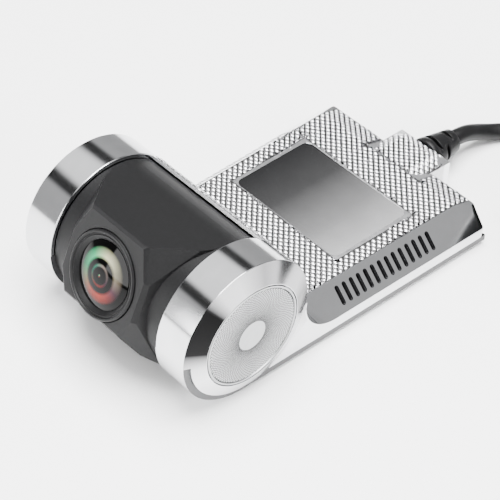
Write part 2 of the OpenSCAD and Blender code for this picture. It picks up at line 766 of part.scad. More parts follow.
module main_board() {
    color(board_green) at_axis() difference() {
        translate([0, 0, mb_z]) linear_extrude(mb_t) polygon([[-mb_x, mb_y0], [mb_x, mb_y0],
            [mb_x, mb_y1], [notch_x[1], mb_y1], [notch_x[1], notch_y], [notch_x[0], notch_y],
            [notch_x[0], mb_y1], [-mb_x, mb_y1]]);
        for (p = board_posts) translate([p[0], p[1], mb_z - 1]) cylinder(r = screw_r, h = 4);
    }
}
// A flat chip on the main board, by its centre and size
module chip(x, y, w, l, h) { at_axis() box([x - w / 2, y - l / 2, mb_top], [x + w / 2, y + l / 2, mb_top + h]); }
cpu = [1, 34];
module processor() { color(gloss_black) chip(cpu[0], cpu[1], 10, 10, 1); }
module thermal_pad() {
    color([0.55, 0.6, 0.75]) at_axis() translate([cpu[0], cpu[1], mb_top + 1 + 0.25]) cube([9, 9, 0.5], center = true);
}
module heat_spreader() {
    color([0.8, 0.8, 0.8]) at_axis() translate([cpu[0], cpu[1], mb_top + 1.5 + 0.2]) cube([16, 14, 0.4], center = true);
}
module memory_chip() { color(gloss_black) chip(-11, 32, 7, 8, 0.9); }
module power_coil() { color([0.3, 0.3, 0.3]) chip(12.5, 33, 4, 4, 1.6); }
module capacitors() {
    color([0.6, 0.45, 0.2]) for (i = [0:3]) chip(12.5, 38 + 2.6 * i, 3.2, 1.6, 1.4);
}
module crystal() { color(steel) chip(-2.5, 24.5, 3.2, 2.5, 0.7); }
module microphone() { color(brass) chip(7, 24.5, 3, 3.8, 1.1); }
module card_socket() {
    color(steel) at_axis() difference() {
        box([card_x - card[0] / 2 - 0.6, socket_y - 0.6, mb_top],
            [card_x + card[0] / 2 + 0.6, mb_y1 - 0.2, card_z + card[2] + 0.45]);
        box([card_x - card[0] / 2 - 0.15, socket_y, card_z - 0.12],
            [card_x + card[0] / 2 + 0.15, big, card_z + card[2] + 0.12]);
    }
}
module memory_card() {
    color(gloss_black) at_axis() translate([card_x, card_rest, card_z]) linear_extrude(card[2])
        polygon([[-card[0] / 2, 0], [-card[0] / 2, -card[1] + 2], [-card[0] / 2 + 1, -card[1]],
            [card[0] / 2, -card[1]], [card[0] / 2, 0]]);
}
module lead_socket() { color([0.9, 0.88, 0.82]) chip(cable_x, notch_y - 3, 7.5, 4, 2.2); }
module board_socket() {
    color([0.85, 0.83, 0.78]) chip(-ribbon_plug[0], ribbon_plug[1] + 1.2, 5, 2.4, 1.4);
}
module board_screws() {
    color(steel) at_axis() for (p = board_posts) {
        translate([p[0], p[1], mb_z - 2.2]) cylinder(r = screw_r, h = mb_t + 2.2);
        translate([p[0], p[1], mb_top]) cylinder(r = 1.3, h = 0.7);
    }
}
module case_screws() {
    color(steel) at_axis() {
        for (s = [-1, 1], y = case_posts_y) case_screw([s * side_x(post_in, y), y], 2.6);
        for (p = cover_posts) case_screw(p, 3);
    }
}
module case_screw(p, l) {
    translate([p[0], p[1], under_z + 0.6]) cylinder(r = screw_r, h = l);
    translate([p[0], p[1], under_z]) cylinder(r = 1.4, h = 0.6);
}

// --- Lead ---

clamp_t = 1.2;
module cable_clamp() {
    color(satin_black) at_axis() translate([cable_x, clamp_y, cable_z]) difference() {
        union() {
            box([-clamp_x - 1.7, -1.5, 0], [clamp_x + 1.7, 1.5, clamp_t]);
            box([-cable_r - 0.8, -1.5, 0], [cable_r + 0.8, 1.5, cable_r + 0.4]);
        }
        rod_y(cable_r, -3, 3);
        for (s = [-1, 1]) translate([s * clamp_x, 0, -1]) cylinder(r = screw_r, h = 8);
    }
}
module clamp_screws() {
    color(steel) at_axis() for (s = [-1, 1]) translate([cable_x + s * clamp_x, clamp_y, cable_z]) {
        translate([0, 0, -2.6]) cylinder(r = screw_r, h = 2.6 + clamp_t);
        translate([0, 0, clamp_t]) cylinder(r = 1.3, h = 0.5);
    }
}
wire_r = 0.4;
module lead_wires() {
    color([0.7, 0.1, 0.1]) at_axis() for (i = [0:3])
        translate([cable_x + (i - 1.5) * 0.82, 0, cable_z]) rod_y(wire_r, notch_y - 1, core_y);
}
core_y = clamp_y - 3;
module cable_core() {
    color(gloss_black) at_axis() translate([cable_x, 0, cable_z]) rod_y(cable_r, core_y, boot_end);
}
module cable_boot() {
    groove = [for (i = [0:2]) tab_l + 2 + i * 2];
    color(gloss_black) at_axis() translate([cable_x, 0, cable_z]) difference() {
        rotate([-90, 0, 0]) rotate_extrude() polygon([[cable_r, flange_y - flange_t],
            [flange_r, flange_y - flange_t], [flange_r, flange_y],
            [boot_neck, flange_y], [boot_neck, tab_l], [boot_base, tab_l],
            [boot_base, tab_l + 0.8], [boot_tip, boot_end], [cable_r, boot_end]]);
        for (i = [0:2], s = [-1, 1]) translate([0, groove[i], 0]) rotate([0, i * 90, 0])
            box([-big, -0.45, s > 0 ? cable_r + 0.3 : -big], [big, 0.45, s > 0 ? big : -cable_r - 0.3]);
        box([-big, 0, -big], [big, big, under_z - cable_z]);
    }
}

// Sweep of a round tube along the route: one ring of points at each place on the path
function bezier(a, b, c, d, t) = a * pow(1 - t, 3) + 3 * b * t * pow(1 - t, 2)
    + 3 * c * t * t * (1 - t) + d * pow(t, 3);
// A smooth curve through all the points, with n places on each span
function smooth_path(p, n) = let (m = len(p) - 1) concat([for (i = [0:m - 1], k = [0:n - 1])
    let (a = p[max(i - 1, 0)], b = p[i], c = p[i + 1], d = p[min(i + 2, m)])
        bezier(b, b + (c - a) / 6, c - (d - b) / 6, c, k / n)], [p[m]]);
function unit(v) = v / norm(v);
function along(p, i) = unit(p[min(i + 1, len(p) - 1)] - p[max(i - 1, 0)]);
function ring_at(p, i, r, n) = let (t = along(p, i), s = unit(cross(t, [0, 0, 1])), u = cross(s, t))
    [for (k = [0:n - 1]) p[i] + r * (cos(360 * k / n) * s + sin(360 * k / n) * u)];
module sweep(p, r, n) {
    m = len(p);
    polyhedron(points = [for (i = [0:m - 1]) each ring_at(p, i, r, n)],
        faces = concat([[for (k = [0:n - 1]) k]], [for (i = [0:m - 2], k = [0:n - 1])
            [i * n + k, (i + 1) * n + k, (i + 1) * n + (k + 1) % n, i * n + (k + 1) % n]],
            [[for (k = [n - 1:-1:0]) (m - 1) * n + k]]), convexity = 6);
}
module with_boot() { translate([0, lead_shift, 0]) children(); }
module usb_cable() {
    color(gloss_black) with_boot() sweep(smooth_path(route, 3), cable_r, cable_sides);
}
module cable_coil() {
    color(gloss_black) with_boot() translate([coil_c[0], coil_c[1], 0]) rotate_extrude()
        translate([coil_d / 2 - coil_half[0], 0]) square([2 * coil_half[0], 2 * coil_half[1]]);
}
module cable_tie() {
    color(satin_black) with_boot() translate([coil_c[0], coil_c[1], 0]) rotate([0, 0, 200]) difference() {
        box([coil_d / 2 - coil_half[0] - 0.7, -2, 0], [coil_d / 2 + coil_half[0] + 0.7, 2, 2 * coil_half[1] + 0.7]);
        box([coil_d / 2 - coil_half[0], -3, -1], [coil_d / 2 + coil_half[0], 3, 2 * coil_half[1]]);
    }
}
module at_plug() { with_boot() translate(plug_c) rotate([0, 0, plug_turn]) children(); }
module plug_body() {
    color(gloss_black) at_plug() difference() {
        box([-plug_size[0] / 2, -plug_size[1] / 2 - 6, 0], [plug_size[0] / 2, plug_size[1] / 2 - 6, plug_size[2]]);
        box([-shell_size[0] / 2, plug_size[1] / 2 - 7, plug_size[2] / 2 - shell_size[2] / 2],
            [shell_size[0] / 2, plug_size[1], plug_size[2] / 2 + shell_size[2] / 2]);
    }
}
module plug_shell() {
    y0 = plug_size[1] / 2 - 7;
    color(steel) at_plug() translate([0, y0, plug_size[2] / 2]) difference() {
        box([-shell_size[0] / 2, 0, -shell_size[2] / 2], [shell_size[0] / 2, shell_size[1], shell_size[2] / 2]);
        box([-shell_size[0] / 2 + shell_wall, 1, -shell_size[2] / 2 + shell_wall],
            [shell_size[0] / 2 - shell_wall, big, shell_size[2] / 2 - shell_wall]);
    }
}
module plug_tongue() {
    y0 = plug_size[1] / 2 - 7;
    color([0.9, 0.9, 0.9]) at_plug() translate([0, y0, plug_size[2] / 2])
        box([-shell_size[0] / 2 + shell_wall, 1, -shell_size[2] / 2 + shell_wall],
            [shell_size[0] / 2 - shell_wall, shell_size[1] - 0.6, -shell_size[2] / 2 + shell_wall + 1.8]);
}
module plug_contacts() {
    y0 = plug_size[1] / 2 - 7;
    color(brass) at_plug() for (i = [0:3]) translate([(i - 1.5) * 2.4, y0, plug_size[2] / 2])
        box([-0.5, 6, -shell_size[2] / 2 + shell_wall + 1.8],
            [0.5, shell_size[1] - 1.2, -shell_size[2] / 2 + shell_wall + 1.95]);
}

side_frame_left();
side_frame_right();
knurled_cover();
bottom_shell();
inset_panel();
adhesive_pad();
end_cap_left();
end_button();
switch_plunger();
button_switch();
switch_board();
pivot_bushes();
friction_springs();
pivot_clips();
pivot_journals();
head_front_shell();
head_rear_shell();
head_screws();
lens_bezel();
front_glass();
lens_barrel();
second_lens();
rear_lens();
lens_spacer();
lens_holder();
infrared_filter();
image_sensor();
sensor_board();
sensor_screws();
ribbon_socket();
sensor_ribbon();
ribbon_cable();
board_socket();
main_board();
processor();
thermal_pad();
heat_spreader();
memory_chip();
power_coil();
capacitors();
crystal();
microphone();
card_socket();
memory_card();
lead_socket();
board_screws();
case_screws();
cable_clamp();
clamp_screws();
lead_wires();
cable_core();
cable_boot();
usb_cable();
cable_coil();
cable_tie();
plug_body();
plug_shell();
plug_tongue();
plug_contacts();
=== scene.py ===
# %% [markdown]
# # Stick-on dash camera
# A barrel-shaped camera head tilts between two chromed end rings. Behind it lies a flat body
# with a knurled metal cover, a glossy panel, vents down both sides and a USB lead. This script
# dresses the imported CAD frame: it builds finer outer pieces in Blender, gives every piece a
# procedural finish, and sets the camera in front of it and above.

# %% Load the frame
import json
import math

import bmesh
import bpy
from mathutils import Matrix, Vector


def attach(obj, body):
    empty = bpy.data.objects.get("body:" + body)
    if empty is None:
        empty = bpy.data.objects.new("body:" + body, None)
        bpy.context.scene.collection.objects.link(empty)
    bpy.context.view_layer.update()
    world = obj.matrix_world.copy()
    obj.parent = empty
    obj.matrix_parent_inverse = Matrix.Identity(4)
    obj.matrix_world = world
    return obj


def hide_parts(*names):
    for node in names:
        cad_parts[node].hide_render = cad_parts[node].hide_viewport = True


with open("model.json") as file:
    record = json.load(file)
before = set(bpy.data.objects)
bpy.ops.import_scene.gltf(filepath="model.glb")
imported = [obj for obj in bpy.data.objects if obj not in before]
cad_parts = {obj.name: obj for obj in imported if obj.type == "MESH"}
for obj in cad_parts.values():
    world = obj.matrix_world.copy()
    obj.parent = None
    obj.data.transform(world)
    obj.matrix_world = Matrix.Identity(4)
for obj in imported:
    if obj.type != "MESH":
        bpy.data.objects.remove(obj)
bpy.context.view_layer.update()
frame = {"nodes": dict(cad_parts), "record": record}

print("nodes in the frame:", len(frame["nodes"]))

# %% [markdown]
# ## One set of axes for everything
# All shapes are drawn in millimetres from the barrel's axis, with +X towards the button, -Y the
# way the lens looks and +Z up. `place` carries them into the frame's metres, and turns the head's
# pieces up by the angle at which the head stands at rest.

# %% Axes
MM = 0.001
TILT = math.radians(23.3)
record = frame["record"]
joints = {j["name"]: j for j in record["behaviour"]["joints"]}
AXIS = Vector(joints["head_tilt"]["pos_m"])


def place(head=False):
    turn = Matrix.Rotation(-TILT, 4, "X") if head else Matrix.Identity(4)
    return Matrix.Translation(AXIS) @ turn @ Matrix.Scale(MM, 4)


print("barrel axis at", [round(v, 4) for v in AXIS])

# %% [markdown]
# ## The camera
# A product shot is taken from well back through a long lens, which keeps the near end from
# swelling. This camera looks from the front right and from above, from 376 mm away, and leans by
# one and a half degrees. It could be placed by hand in the viewport, but angles written down
# give the same view each time.

# %% Camera
AZIMUTH = math.radians(47.1706)
ELEVATION = math.radians(43.2519)
ROLL = math.radians(-1.5129)
AIM = Vector((0, -15.5, 16))
DISTANCE = 376.4
SHIFT_RIGHT = -2.595
SHIFT_DOWN = -5.331


def axes(azimuth, elevation, roll):
    """The camera's right, down and backward directions."""
    across = Vector((math.sin(azimuth), -math.cos(azimuth), 0))
    back = across * math.cos(elevation) + Vector((0, 0, math.sin(elevation)))
    level = (-back).cross(Vector((0, 0, 1))).normalized()
    down = (-back).cross(level)
    c, s = math.cos(roll), math.sin(roll)
    return level, down, back, c * level + s * down, c * down - s * level


level, sink, back, right, down = axes(AZIMUTH, ELEVATION, ROLL)
eye = (AIM + back * DISTANCE - level * SHIFT_RIGHT - sink * SHIFT_DOWN) * MM
lens = bpy.data.cameras.new("camera")
lens.sensor_width = 36
lens.lens = 142.04
lens.clip_start = 0.01
lens.clip_end = 20
camera = bpy.data.objects.new("camera", lens)
turned = Matrix((right, -down, back)).transposed().to_4x4()
camera.matrix_world = Matrix.Translation(eye) @ turned
bpy.context.scene.collection.objects.link(camera)
bpy.context.scene.camera = camera
print("camera at", [round(v, 3) for v in eye])

# %% [markdown]
# ## The lead
# The lead leaves the boot, sinks to the floor in an easy curve and runs away to the side. The
# rest of its 1.5 m lies in a flat coil of four layers, and its plug rests on top.

# %% Lead and coil
ROUTE = [(1.5, 43.3, 5.2), (1.5, 45, 5.2), (1.6, 48, 4.6), (2, 51, 3.5), (2.9, 54, 2.5)]
ROUTE += [(4.4, 57, 2), (6.6, 59.8, 1.9), (9.8, 62.2, 1.9), (13.8, 63.9, 1.9)]
ROUTE += [(18.2, 65.5, 1.9), (22.6, 67.2, 1.9), (27, 69, 1.9), (31.5, 70.8, 1.9), (36, 72.6, 1.9)]
COIL = Vector((52, 51.1))
OUTER = 25.95
INNER = 15.3
LAYER_TURNS = 2.87
LAYER_RISE = 3.65
RISE_TURN = 1 / 6
JOIN = math.radians(112)
LEAD_WIDTH = 0.0036


def smooth_route(points, places):
    """A smooth line through all the points, with so many places on each span."""
    line = []
    for i in range(len(points) - 1):
        a, b, c, d = [Vector(points[min(max(j, 0), len(points) - 1)]) for j in range(i - 1, i + 3)]
        p, q = b + (c - a) / 6, c - (d - b) / 6
        for k in range(places):
            t = k / places
            u = 1 - t
            line.append(b * u**3 + p * (3 * u * u * t) + q * (3 * u * t * t) + c * t**3)
    line.append(Vector(points[-1]))
    return line


def coil_line(start_z, last_turn):
    """Layers that wind in and out by turns, then the sweep up to the plug."""
    line = []
    angle = JOIN
    z = start_z
    steps = 72
    for layer in range(4):
        goes_in = layer % 2 == 0
        a, b = (OUTER, INNER) if goes_in else (INNER, OUTER)
        turns = LAYER_TURNS if layer < 3 else last_turn
        b = b if layer < 3 else 25.5
        count = round(turns * steps)
        for k in range(count):
            r = a + (b - a) * k / count
            line.append((r, angle - math.tau * turns * k / count, z))
        angle -= math.tau * turns
        if layer < 3:
            count = round(RISE_TURN * steps)
            for k in range(count):
                t = k / count
                up = z + LAYER_RISE * (0.5 - 0.5 * math.cos(math.pi * t))
                line.append((b, angle - math.tau * RISE_TURN * t, up))
            angle -= math.tau * RISE_TURN
            z += LAYER_RISE
    flat = [Vector((COIL.x + r * math.cos(a), COIL.y + r * math.sin(a), z)) for r, a, z in line]
    return flat, angle, z


PLUG_AHEAD = Vector((math.cos(math.radians(-65)), math.sin(math.radians(-65))))
PLUG_OUT = Vector((math.cos(math.radians(25)), math.sin(math.radians(25))))
SWEEP_R = 15
SWEEP_BACK = 10.5
sweep_start = math.atan2(-PLUG_AHEAD.y, -PLUG_AHEAD.x)
used = 3 * (LAYER_TURNS + RISE_TURN) * math.tau
last = (JOIN - sweep_start + 11 * math.tau - used) / math.tau
coil, end_angle, end_z = coil_line(1.9, last)
middle = COIL - PLUG_AHEAD * SWEEP_BACK
plug_z = 18.5
for k in range(25):
    t = k / 24
    a = sweep_start - math.pi / 2 * t
    up = end_z + (plug_z - end_z) * (0.5 - 0.5 * math.cos(math.pi * t))
    coil.append(Vector((middle.x + SWEEP_R * math.cos(a), middle.y + SWEEP_R * math.sin(a), up)))
lead_points = [p * MM for p in smooth_route(ROUTE, 6) + coil]


def line_length(points):
    return sum((b - a).length for a, b in zip(points, points[1:]))


def tube_curve(name, points, width):
    curve = bpy.data.curves.new(name, "CURVE")
    curve.dimensions = "3D"
    curve.bevel_depth = 1
    curve.bevel_resolution = 5
    curve.use_fill_caps = True
    spline = curve.splines.new("POLY")
    spline.points.add(len(points) - 1)
    for place_on, p in zip(spline.points, points):
        place_on.co = (*p, 1)
        place_on.radius = width / 2
    spline.use_smooth = True
    obj = bpy.data.objects.new(name, curve)
    bpy.context.scene.collection.objects.link(obj)
    return obj


lead = tube_curve("usb_lead", lead_points, LEAD_WIDTH)
print("lead length", round(line_length(lead_points), 4))
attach(lead, "housing")
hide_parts("usb_cable", "cable_coil")

# %% [markdown]
# ## Floor and light
# A plain white floor, one wide soft light overhead, two at the sides, and a sky that is dark
# between the overhead light and the horizon. That dark band is what chrome needs to look like
# chrome.

# %% Floor and light
floor_mesh = bpy.data.meshes.new("floor")
bm = bmesh.new()
bmesh.ops.create_grid(bm, x_segments=1, y_segments=1, size=4)
bm.to_mesh(floor_mesh)
bm.free()
floor = bpy.data.objects.new("floor", floor_mesh)
bpy.context.scene.collection.objects.link(floor)


def soft_light(name, place_at, target, size, watts):
    data = bpy.data.lights.new(name, "AREA")
    data.shape = "SQUARE"
    data.size = size
    data.energy = watts
    obj = bpy.data.objects.new(name, data)
    aim = (Vector(target) - Vector(place_at)).to_track_quat("-Z", "Y").to_matrix().to_4x4()
    obj.matrix_world = Matrix.Translation(Vector(place_at)) @ aim
    bpy.context.scene.collection.objects.link(obj)
    return obj


lights = [
    soft_light("overhead", (0.05, 0.0, 0.75), (0, 0, 0), 0.62, 30),
    soft_light("right", (0.8, -0.05, 0.35), (0, 0, 0.01), 0.4, 9),
    soft_light("front", (-0.25, -0.9, 0.3), (0, 0, 0.01), 0.5, 9),
]
world = bpy.data.worlds.new("studio")
bpy.context.scene.world = world
world.use_nodes = True
sky = world.node_tree
sky.nodes.clear()
sky_out = sky.nodes.new("ShaderNodeOutputWorld")
sky_light = sky.nodes.new("ShaderNodeBackground")
sky_ramp = sky.nodes.new("ShaderNodeValToRGB")
sky_axes = sky.nodes.new("ShaderNodeSeparateXYZ")
sky_where = sky.nodes.new("ShaderNodeTexCoord")
sky.links.new(sky_where.outputs["Generated"], sky_axes.inputs["Vector"])
sky.links.new(sky_axes.outputs["Z"], sky_ramp.inputs["Fac"])
sky.links.new(sky_ramp.outputs["Color"], sky_light.inputs["Color"])
sky.links.new(sky_light.outputs["Background"], sky_out.inputs["Surface"])
SKY_BANDS = [(0.0, 0.3), (0.3, 0.3), (0.54, 0.36), (0.6, 0.01), (0.7, 0.015), (0.75, 1.0)]
bands = sky_ramp.color_ramp.elements
while len(bands) < len(SKY_BANDS):
    bands.new(0.5)
for stop, (where, grey) in zip(bands, SKY_BANDS):
    stop.position = where
    stop.color = (grey, grey, grey, 1)
sky_light.inputs["Strength"].default_value = 1.8
print("lights:", len(lights))

# %% [markdown]
# ## Finishes
# Each finish is procedural: it is worked out from where a point lies on the piece, with no image.
# A soft noise in object coordinates varies the colour, the roughness and a fine bump, so that no
# surface is one flat colour. One function makes most of
# them, because they differ only in numbers.

# %% Finishes


def new_material(name):
    material = bpy.data.materials.new(name)
    material.use_nodes = True
    tree = material.node_tree
    shader = tree.nodes["Principled BSDF"]
    return material, tree, shader


def add(tree, kind, **values):
    node = tree.nodes.new(kind)
    for key, value in values.items():
        setattr(node, key, value)
    return node


def ramp(tree, source, stops):
    """A colour ramp with stops of (position, colour), read from a socket."""
    node = add(tree, "ShaderNodeValToRGB")
    elements = node.color_ramp.elements
    while len(elements) < len(stops):
        elements.new(0.5)
    for stop, (where, colour) in zip(elements, stops):
        stop.position = where
        stop.color = (*colour, 1)
    tree.links.new(source, node.inputs["Fac"])
    return node.outputs["Color"]


def noise(tree, scale, detail=3):
    where = add(tree, "ShaderNodeTexCoord")
    node = add(tree, "ShaderNodeTexNoise")
    node.inputs["Scale"].default_value = scale
    node.inputs["Detail"].default_value = detail
    tree.links.new(where.outputs["Object"], node.inputs["Vector"])
    return node.outputs["Fac"]


def roughness_and_bump(tree, shader, fac, low, high, bump, depth=0.00002):
    span = add(tree, "ShaderNodeMapRange")
    span.inputs["To Min"].default_value = low
    span.inputs["To Max"].default_value = high
    tree.links.new(fac, span.inputs["Value"])
    tree.links.new(span.outputs["Result"], shader.inputs["Roughness"])
    raised = add(tree, "ShaderNodeBump")
    raised.inputs["Strength"].default_value = bump
    raised.inputs["Distance"].default_value = depth
    tree.links.new(fac, raised.inputs["Height"])
    tree.links.new(raised.outputs["Normal"], shader.inputs["Normal"])


def finish_of(name, colour, metal, rough, scale=900, spread=0.12, bump=0.15, **extra):
    """A finish whose colour varies by spread about colour, and its roughness within rough."""
    material, tree, shader = new_material(name)
    fac = noise(tree, scale)
    dark = [c * (1 - spread) for c in colour]
    light = [min(1, c * (1 + spread)) for c in colour]
    tree.links.new(ramp(tree, fac, [(0.3, dark), (0.7, light)]), shader.inputs["Base Color"])
    shader.inputs["Metallic"].default_value = metal
    for key, value in extra.items():
        shader.inputs[key.replace("_", " ")].default_value = value
    roughness_and_bump(tree, shader, fac, rough[0], rough[1], bump)
    return material


finishes = {
    "chrome": finish_of("chrome", (0.66, 0.665, 0.68), 1, (0.09, 0.14), 300, 0.03, 0.02),
    "knurled_metal": finish_of("knurled", (0.84, 0.84, 0.86), 1, (0.2, 0.3), 700, 0.05, 0.05),
    "end_disc": finish_of("end_disc", (0.36, 0.365, 0.37), 1, (0.3, 0.4), 500, 0.06, 0.04),
    # The end discs' groove finish is near black: painted shade between the lozenges.
    "disc_groove": finish_of("disc_groove", (0.02, 0.02, 0.02), 0.5, (0.3, 0.4), 500, 0.06, 0.04),
    "mirror_panel": finish_of("panel", (0.5, 0.51, 0.53), 0.9, (0.16, 0.22), 200, 0.04, 0.02),
    "satin_black": finish_of(
        "satin_black", (0.0035, 0.0035, 0.0038), 0, (0.42, 0.52), 2600, 0.25, 0.35,
        Specular_IOR_Level=0.17
    ),
    "gloss_black": finish_of(
        "gloss_black", (0.0015, 0.0015, 0.002), 0, (0.12, 0.2), 800, 0.2, 0.1,
        Specular_IOR_Level=0.15
    ),
    "steel": finish_of("steel", (0.7, 0.71, 0.73), 1, (0.2, 0.35), 1200, 0.06, 0.1),
    "brass": finish_of("brass", (0.85, 0.65, 0.3), 1, (0.2, 0.35), 1200, 0.06, 0.1),
    "circuit_board": finish_of("board", (0.03, 0.2, 0.12), 0, (0.25, 0.4), 1500, 0.2, 0.2),
    "pale_plastic": finish_of("pale", (0.85, 0.83, 0.78), 0, (0.4, 0.5), 900, 0.04, 0.1),
    "ribbon": finish_of("ribbon", (0.7, 0.42, 0.14), 0, (0.25, 0.35), 900, 0.1, 0.1),
    "foam": finish_of("foam", (0.05, 0.05, 0.05), 0, (0.85, 0.95), 1500, 0.3, 0.8),
    "thermal": finish_of("thermal", (0.4, 0.45, 0.6), 0, (0.6, 0.7), 900, 0.1, 0.2),
    "spreader": finish_of("spreader", (0.7, 0.71, 0.73), 1, (0.35, 0.5), 700, 0.06, 0.1),
    "ceramic": finish_of("ceramic", (0.5, 0.38, 0.26), 0, (0.4, 0.5), 900, 0.1, 0.1),
    "ferrite": finish_of("ferrite", (0.1, 0.1, 0.11), 0, (0.6, 0.75), 1200, 0.2, 0.4),
    "cable_black": finish_of(
        "cable_black", (0.003, 0.003, 0.0033), 0, (0.36, 0.46), 1800, 0.2, 0.3,
        Specular_IOR_Level=0.2
    ),
    "wire_red": finish_of("wire_red", (0.55, 0.04, 0.03), 0, (0.35, 0.45), 900, 0.1, 0.1),
}
# The knurl's groove finish is near black: painted shade in the valleys between the lozenges.
groove = finish_of("knurl_groove_painted_shade", (0.004, 0.004, 0.004), 0, (0.35, 0.5), 900, 0.2, 0.1)
cut_edge = finish_of("cut_edge", (0.05, 0.05, 0.052), 0.3, (0.35, 0.45), 900, 0.1, 0.1)
floor_mesh.materials.append(finish_of("floor", (0.93, 0.93, 0.93), 0, (0.6, 0.7), 3, 0.004, 0))


def coated_glass():
    """Clear glass with a faint green tint, for the lenses behind the front one."""
    material, tree, shader = new_material("coated_glass")
    fac = noise(tree, 400)
    tint = ramp(tree, fac, [(0.3, (0.93, 0.96, 0.94)), (0.7, (0.98, 0.99, 0.98))])
    tree.links.new(tint, shader.inputs["Base Color"])
    shader.inputs["Transmission Weight"].default_value = 1
    shader.inputs["IOR"].default_value = 1.16
    roughness_and_bump(tree, shader, fac, 0.0, 0.02, 0.01)
    return material


def lens_painted_reflections():
    """The front lens with painted reflections: a painted highlight in the middle, dark round it,
    and painted green, straw and red reflections from its coatings round that.
    """
    material, tree, shader = new_material("lens_painted_reflections")
    where = add(tree, "ShaderNodeTexCoord")
    turn = add(tree, "ShaderNodeMapping", vector_type="POINT")
    middle = place(True) @ Vector((0, -16, 0))
    turn.inputs["Location"].default_value = -(Matrix.Rotation(TILT, 4, "X") @ middle)
    turn.inputs["Rotation"].default_value = (TILT, 0, 0)
    tree.links.new(where.outputs["Object"], turn.inputs["Vector"])
    split = add(tree, "ShaderNodeSeparateXYZ")
    tree.links.new(turn.outputs["Vector"], split.inputs["Vector"])
    angle = add(tree, "ShaderNodeMath", operation="ARCTAN2")
    tree.links.new(split.outputs["Z"], angle.inputs[0])
    tree.links.new(split.outputs["X"], angle.inputs[1])
    span = add(tree, "ShaderNodeMapRange")
    span.inputs["From Min"].default_value = -math.pi
    span.inputs["From Max"].default_value = math.pi
    tree.links.new(angle.outputs[0], span.inputs["Value"])
    # Painted reflections from the coatings, by angle round the lens: green at the left, red below,
    # straw above.
    painted_coat_reflections = [(0, (0.01, 0.16, 0.07)), (0.2, (0.2, 0.02, 0.01)), (0.3, (0.25, 0.02, 0.01))]
    painted_coat_reflections += [(0.45, (0.05, 0.02, 0.03)), (0.6, (0.15, 0.14, 0.09)), (0.75, (0.4, 0.4, 0.25))]
    painted_coat_reflections += [(0.88, (0.03, 0.3, 0.13)), (1, (0.01, 0.16, 0.07))]
    coat = ramp(tree, span.outputs["Result"], painted_coat_reflections)
    flat = add(tree, "ShaderNodeCombineXYZ")
    tree.links.new(split.outputs["X"], flat.inputs["X"])
    tree.links.new(split.outputs["Z"], flat.inputs["Z"])
    far = add(tree, "ShaderNodeVectorMath", operation="LENGTH")
    tree.links.new(flat.outputs["Vector"], far.inputs[0])
    out = add(tree, "ShaderNodeMapRange")
    out.inputs["From Max"].default_value = 0.0065
    tree.links.new(far.outputs["Value"], out.inputs["Value"])
    black = (0.0, 0.0, 0.0)
    # A painted highlight in the middle, then painted reflections of the rings inside the lens: a
    # purple-grey ring and a pale band, on black.
    rings = [(0, (0.9, 0.9, 0.9)), (0.05, black), (0.24, black), (0.3, (0.3, 0.25, 0.35))]
    rings += [(0.36, black), (0.48, black), (0.58, (0.8, 0.8, 0.8)), (0.76, (0.3, 0.3, 0.3))]
    rings += [(0.84, black)]
    painted_ring_reflections = ramp(tree, out.outputs["Result"], rings)
    mix = add(tree, "ShaderNodeMix", data_type="RGBA", blend_type="MULTIPLY")
    mix.inputs["Factor"].default_value = 1
    tree.links.new(painted_ring_reflections, mix.inputs[6])
    tree.links.new(coat, mix.inputs[7])
    tree.links.new(mix.outputs[2], shader.inputs["Base Color"])
    shader.inputs["Specular IOR Level"].default_value = 0.12
    roughness_and_bump(tree, shader, noise(tree, 400), 0.04, 0.08, 0.01)
    return material


finishes["coated_glass"] = coated_glass()
finishes["lens_painted_reflections"] = lens_painted_reflections()
lead.data.materials.append(finishes["cable_black"])
for part in record["subparts"]:
    node = frame["nodes"][part["node"]]
    node.data.materials.clear()
    node.data.materials.append(finishes[part["material_slot"]])
print("finishes:", len(finishes))

# %% [markdown]
# ## Tools for the pieces
# An outline is a list of points, each with the radius of the arc that rounds it. `turned` turns
# an outline about the barrel, `from_cad` takes over a CAD shape and softens its edges, and
# `piece` puts the result into the frame. Real mouldings have no sharp edges, and a rounded edge
# is what catches a thin line of light.

# %% Tools


def arc(cx, cy, r, a0, a1, n):
    """Points on an arc from angle a0 to a1, in degrees."""
    turn = [math.radians(a0 + (a1 - a0) * k / n) for k in range(n + 1)]
    return [(cx + r * math.cos(a), cy + r * math.sin(a)) for a in turn]


def softened(corners, steps=4):
    """An outline of (a, b, radius) corners, with an arc in place of each corner."""
    line = []
    for i, (x, y, r) in enumerate(corners):
        p = Vector((x, y))
        before = (Vector(corners[i - 1][:2]) - p).normalized()
        after = (Vector(corners[(i + 1) % len(corners)][:2]) - p).normalized()
        half = before.angle(after) / 2
        if r <= 0 or half > 1.55:
            line.append(p)
            continue
        centre = p + (before + after).normalized() * (r / math.sin(half))
        a = p + before * (r / math.tan(half)) - centre
        b = p + after * (r / math.tan(half)) - centre
        swing = a.angle_signed(b)
        for k in range(steps + 1):
            t = -swing * k / steps
            c, s = math.cos(t), math.sin(t)
            line.append(centre + Vector((a.x * c - a.y * s, a.x * s + a.y * c)))
    return line


def turned(outline, start=0, end=360, steps=128, bm=None):
    """A closed outline of (radius, x) turned about the barrel's axis. Angles run from -Y up."""
    bm = bm or bmesh.new()
    full = end - start >= 360
    a = math.radians(start)
    ring = [bm.verts.new((x, -r * math.cos(a), r * math.sin(a))) for r, x in outline]
    edges = [bm.edges.new((ring[i - 1], ring[i])) for i in range(len(ring))]
    geom = ring + edges if full else ring + edges + [bm.faces.new(ring)]
    swing = -math.radians(end - start)
    bmesh.ops.spin(
        bm, geom=geom, cent=(0, 0, 0), axis=(1, 0, 0), angle=swing, steps=steps, use_merge=full
    )
    return bm


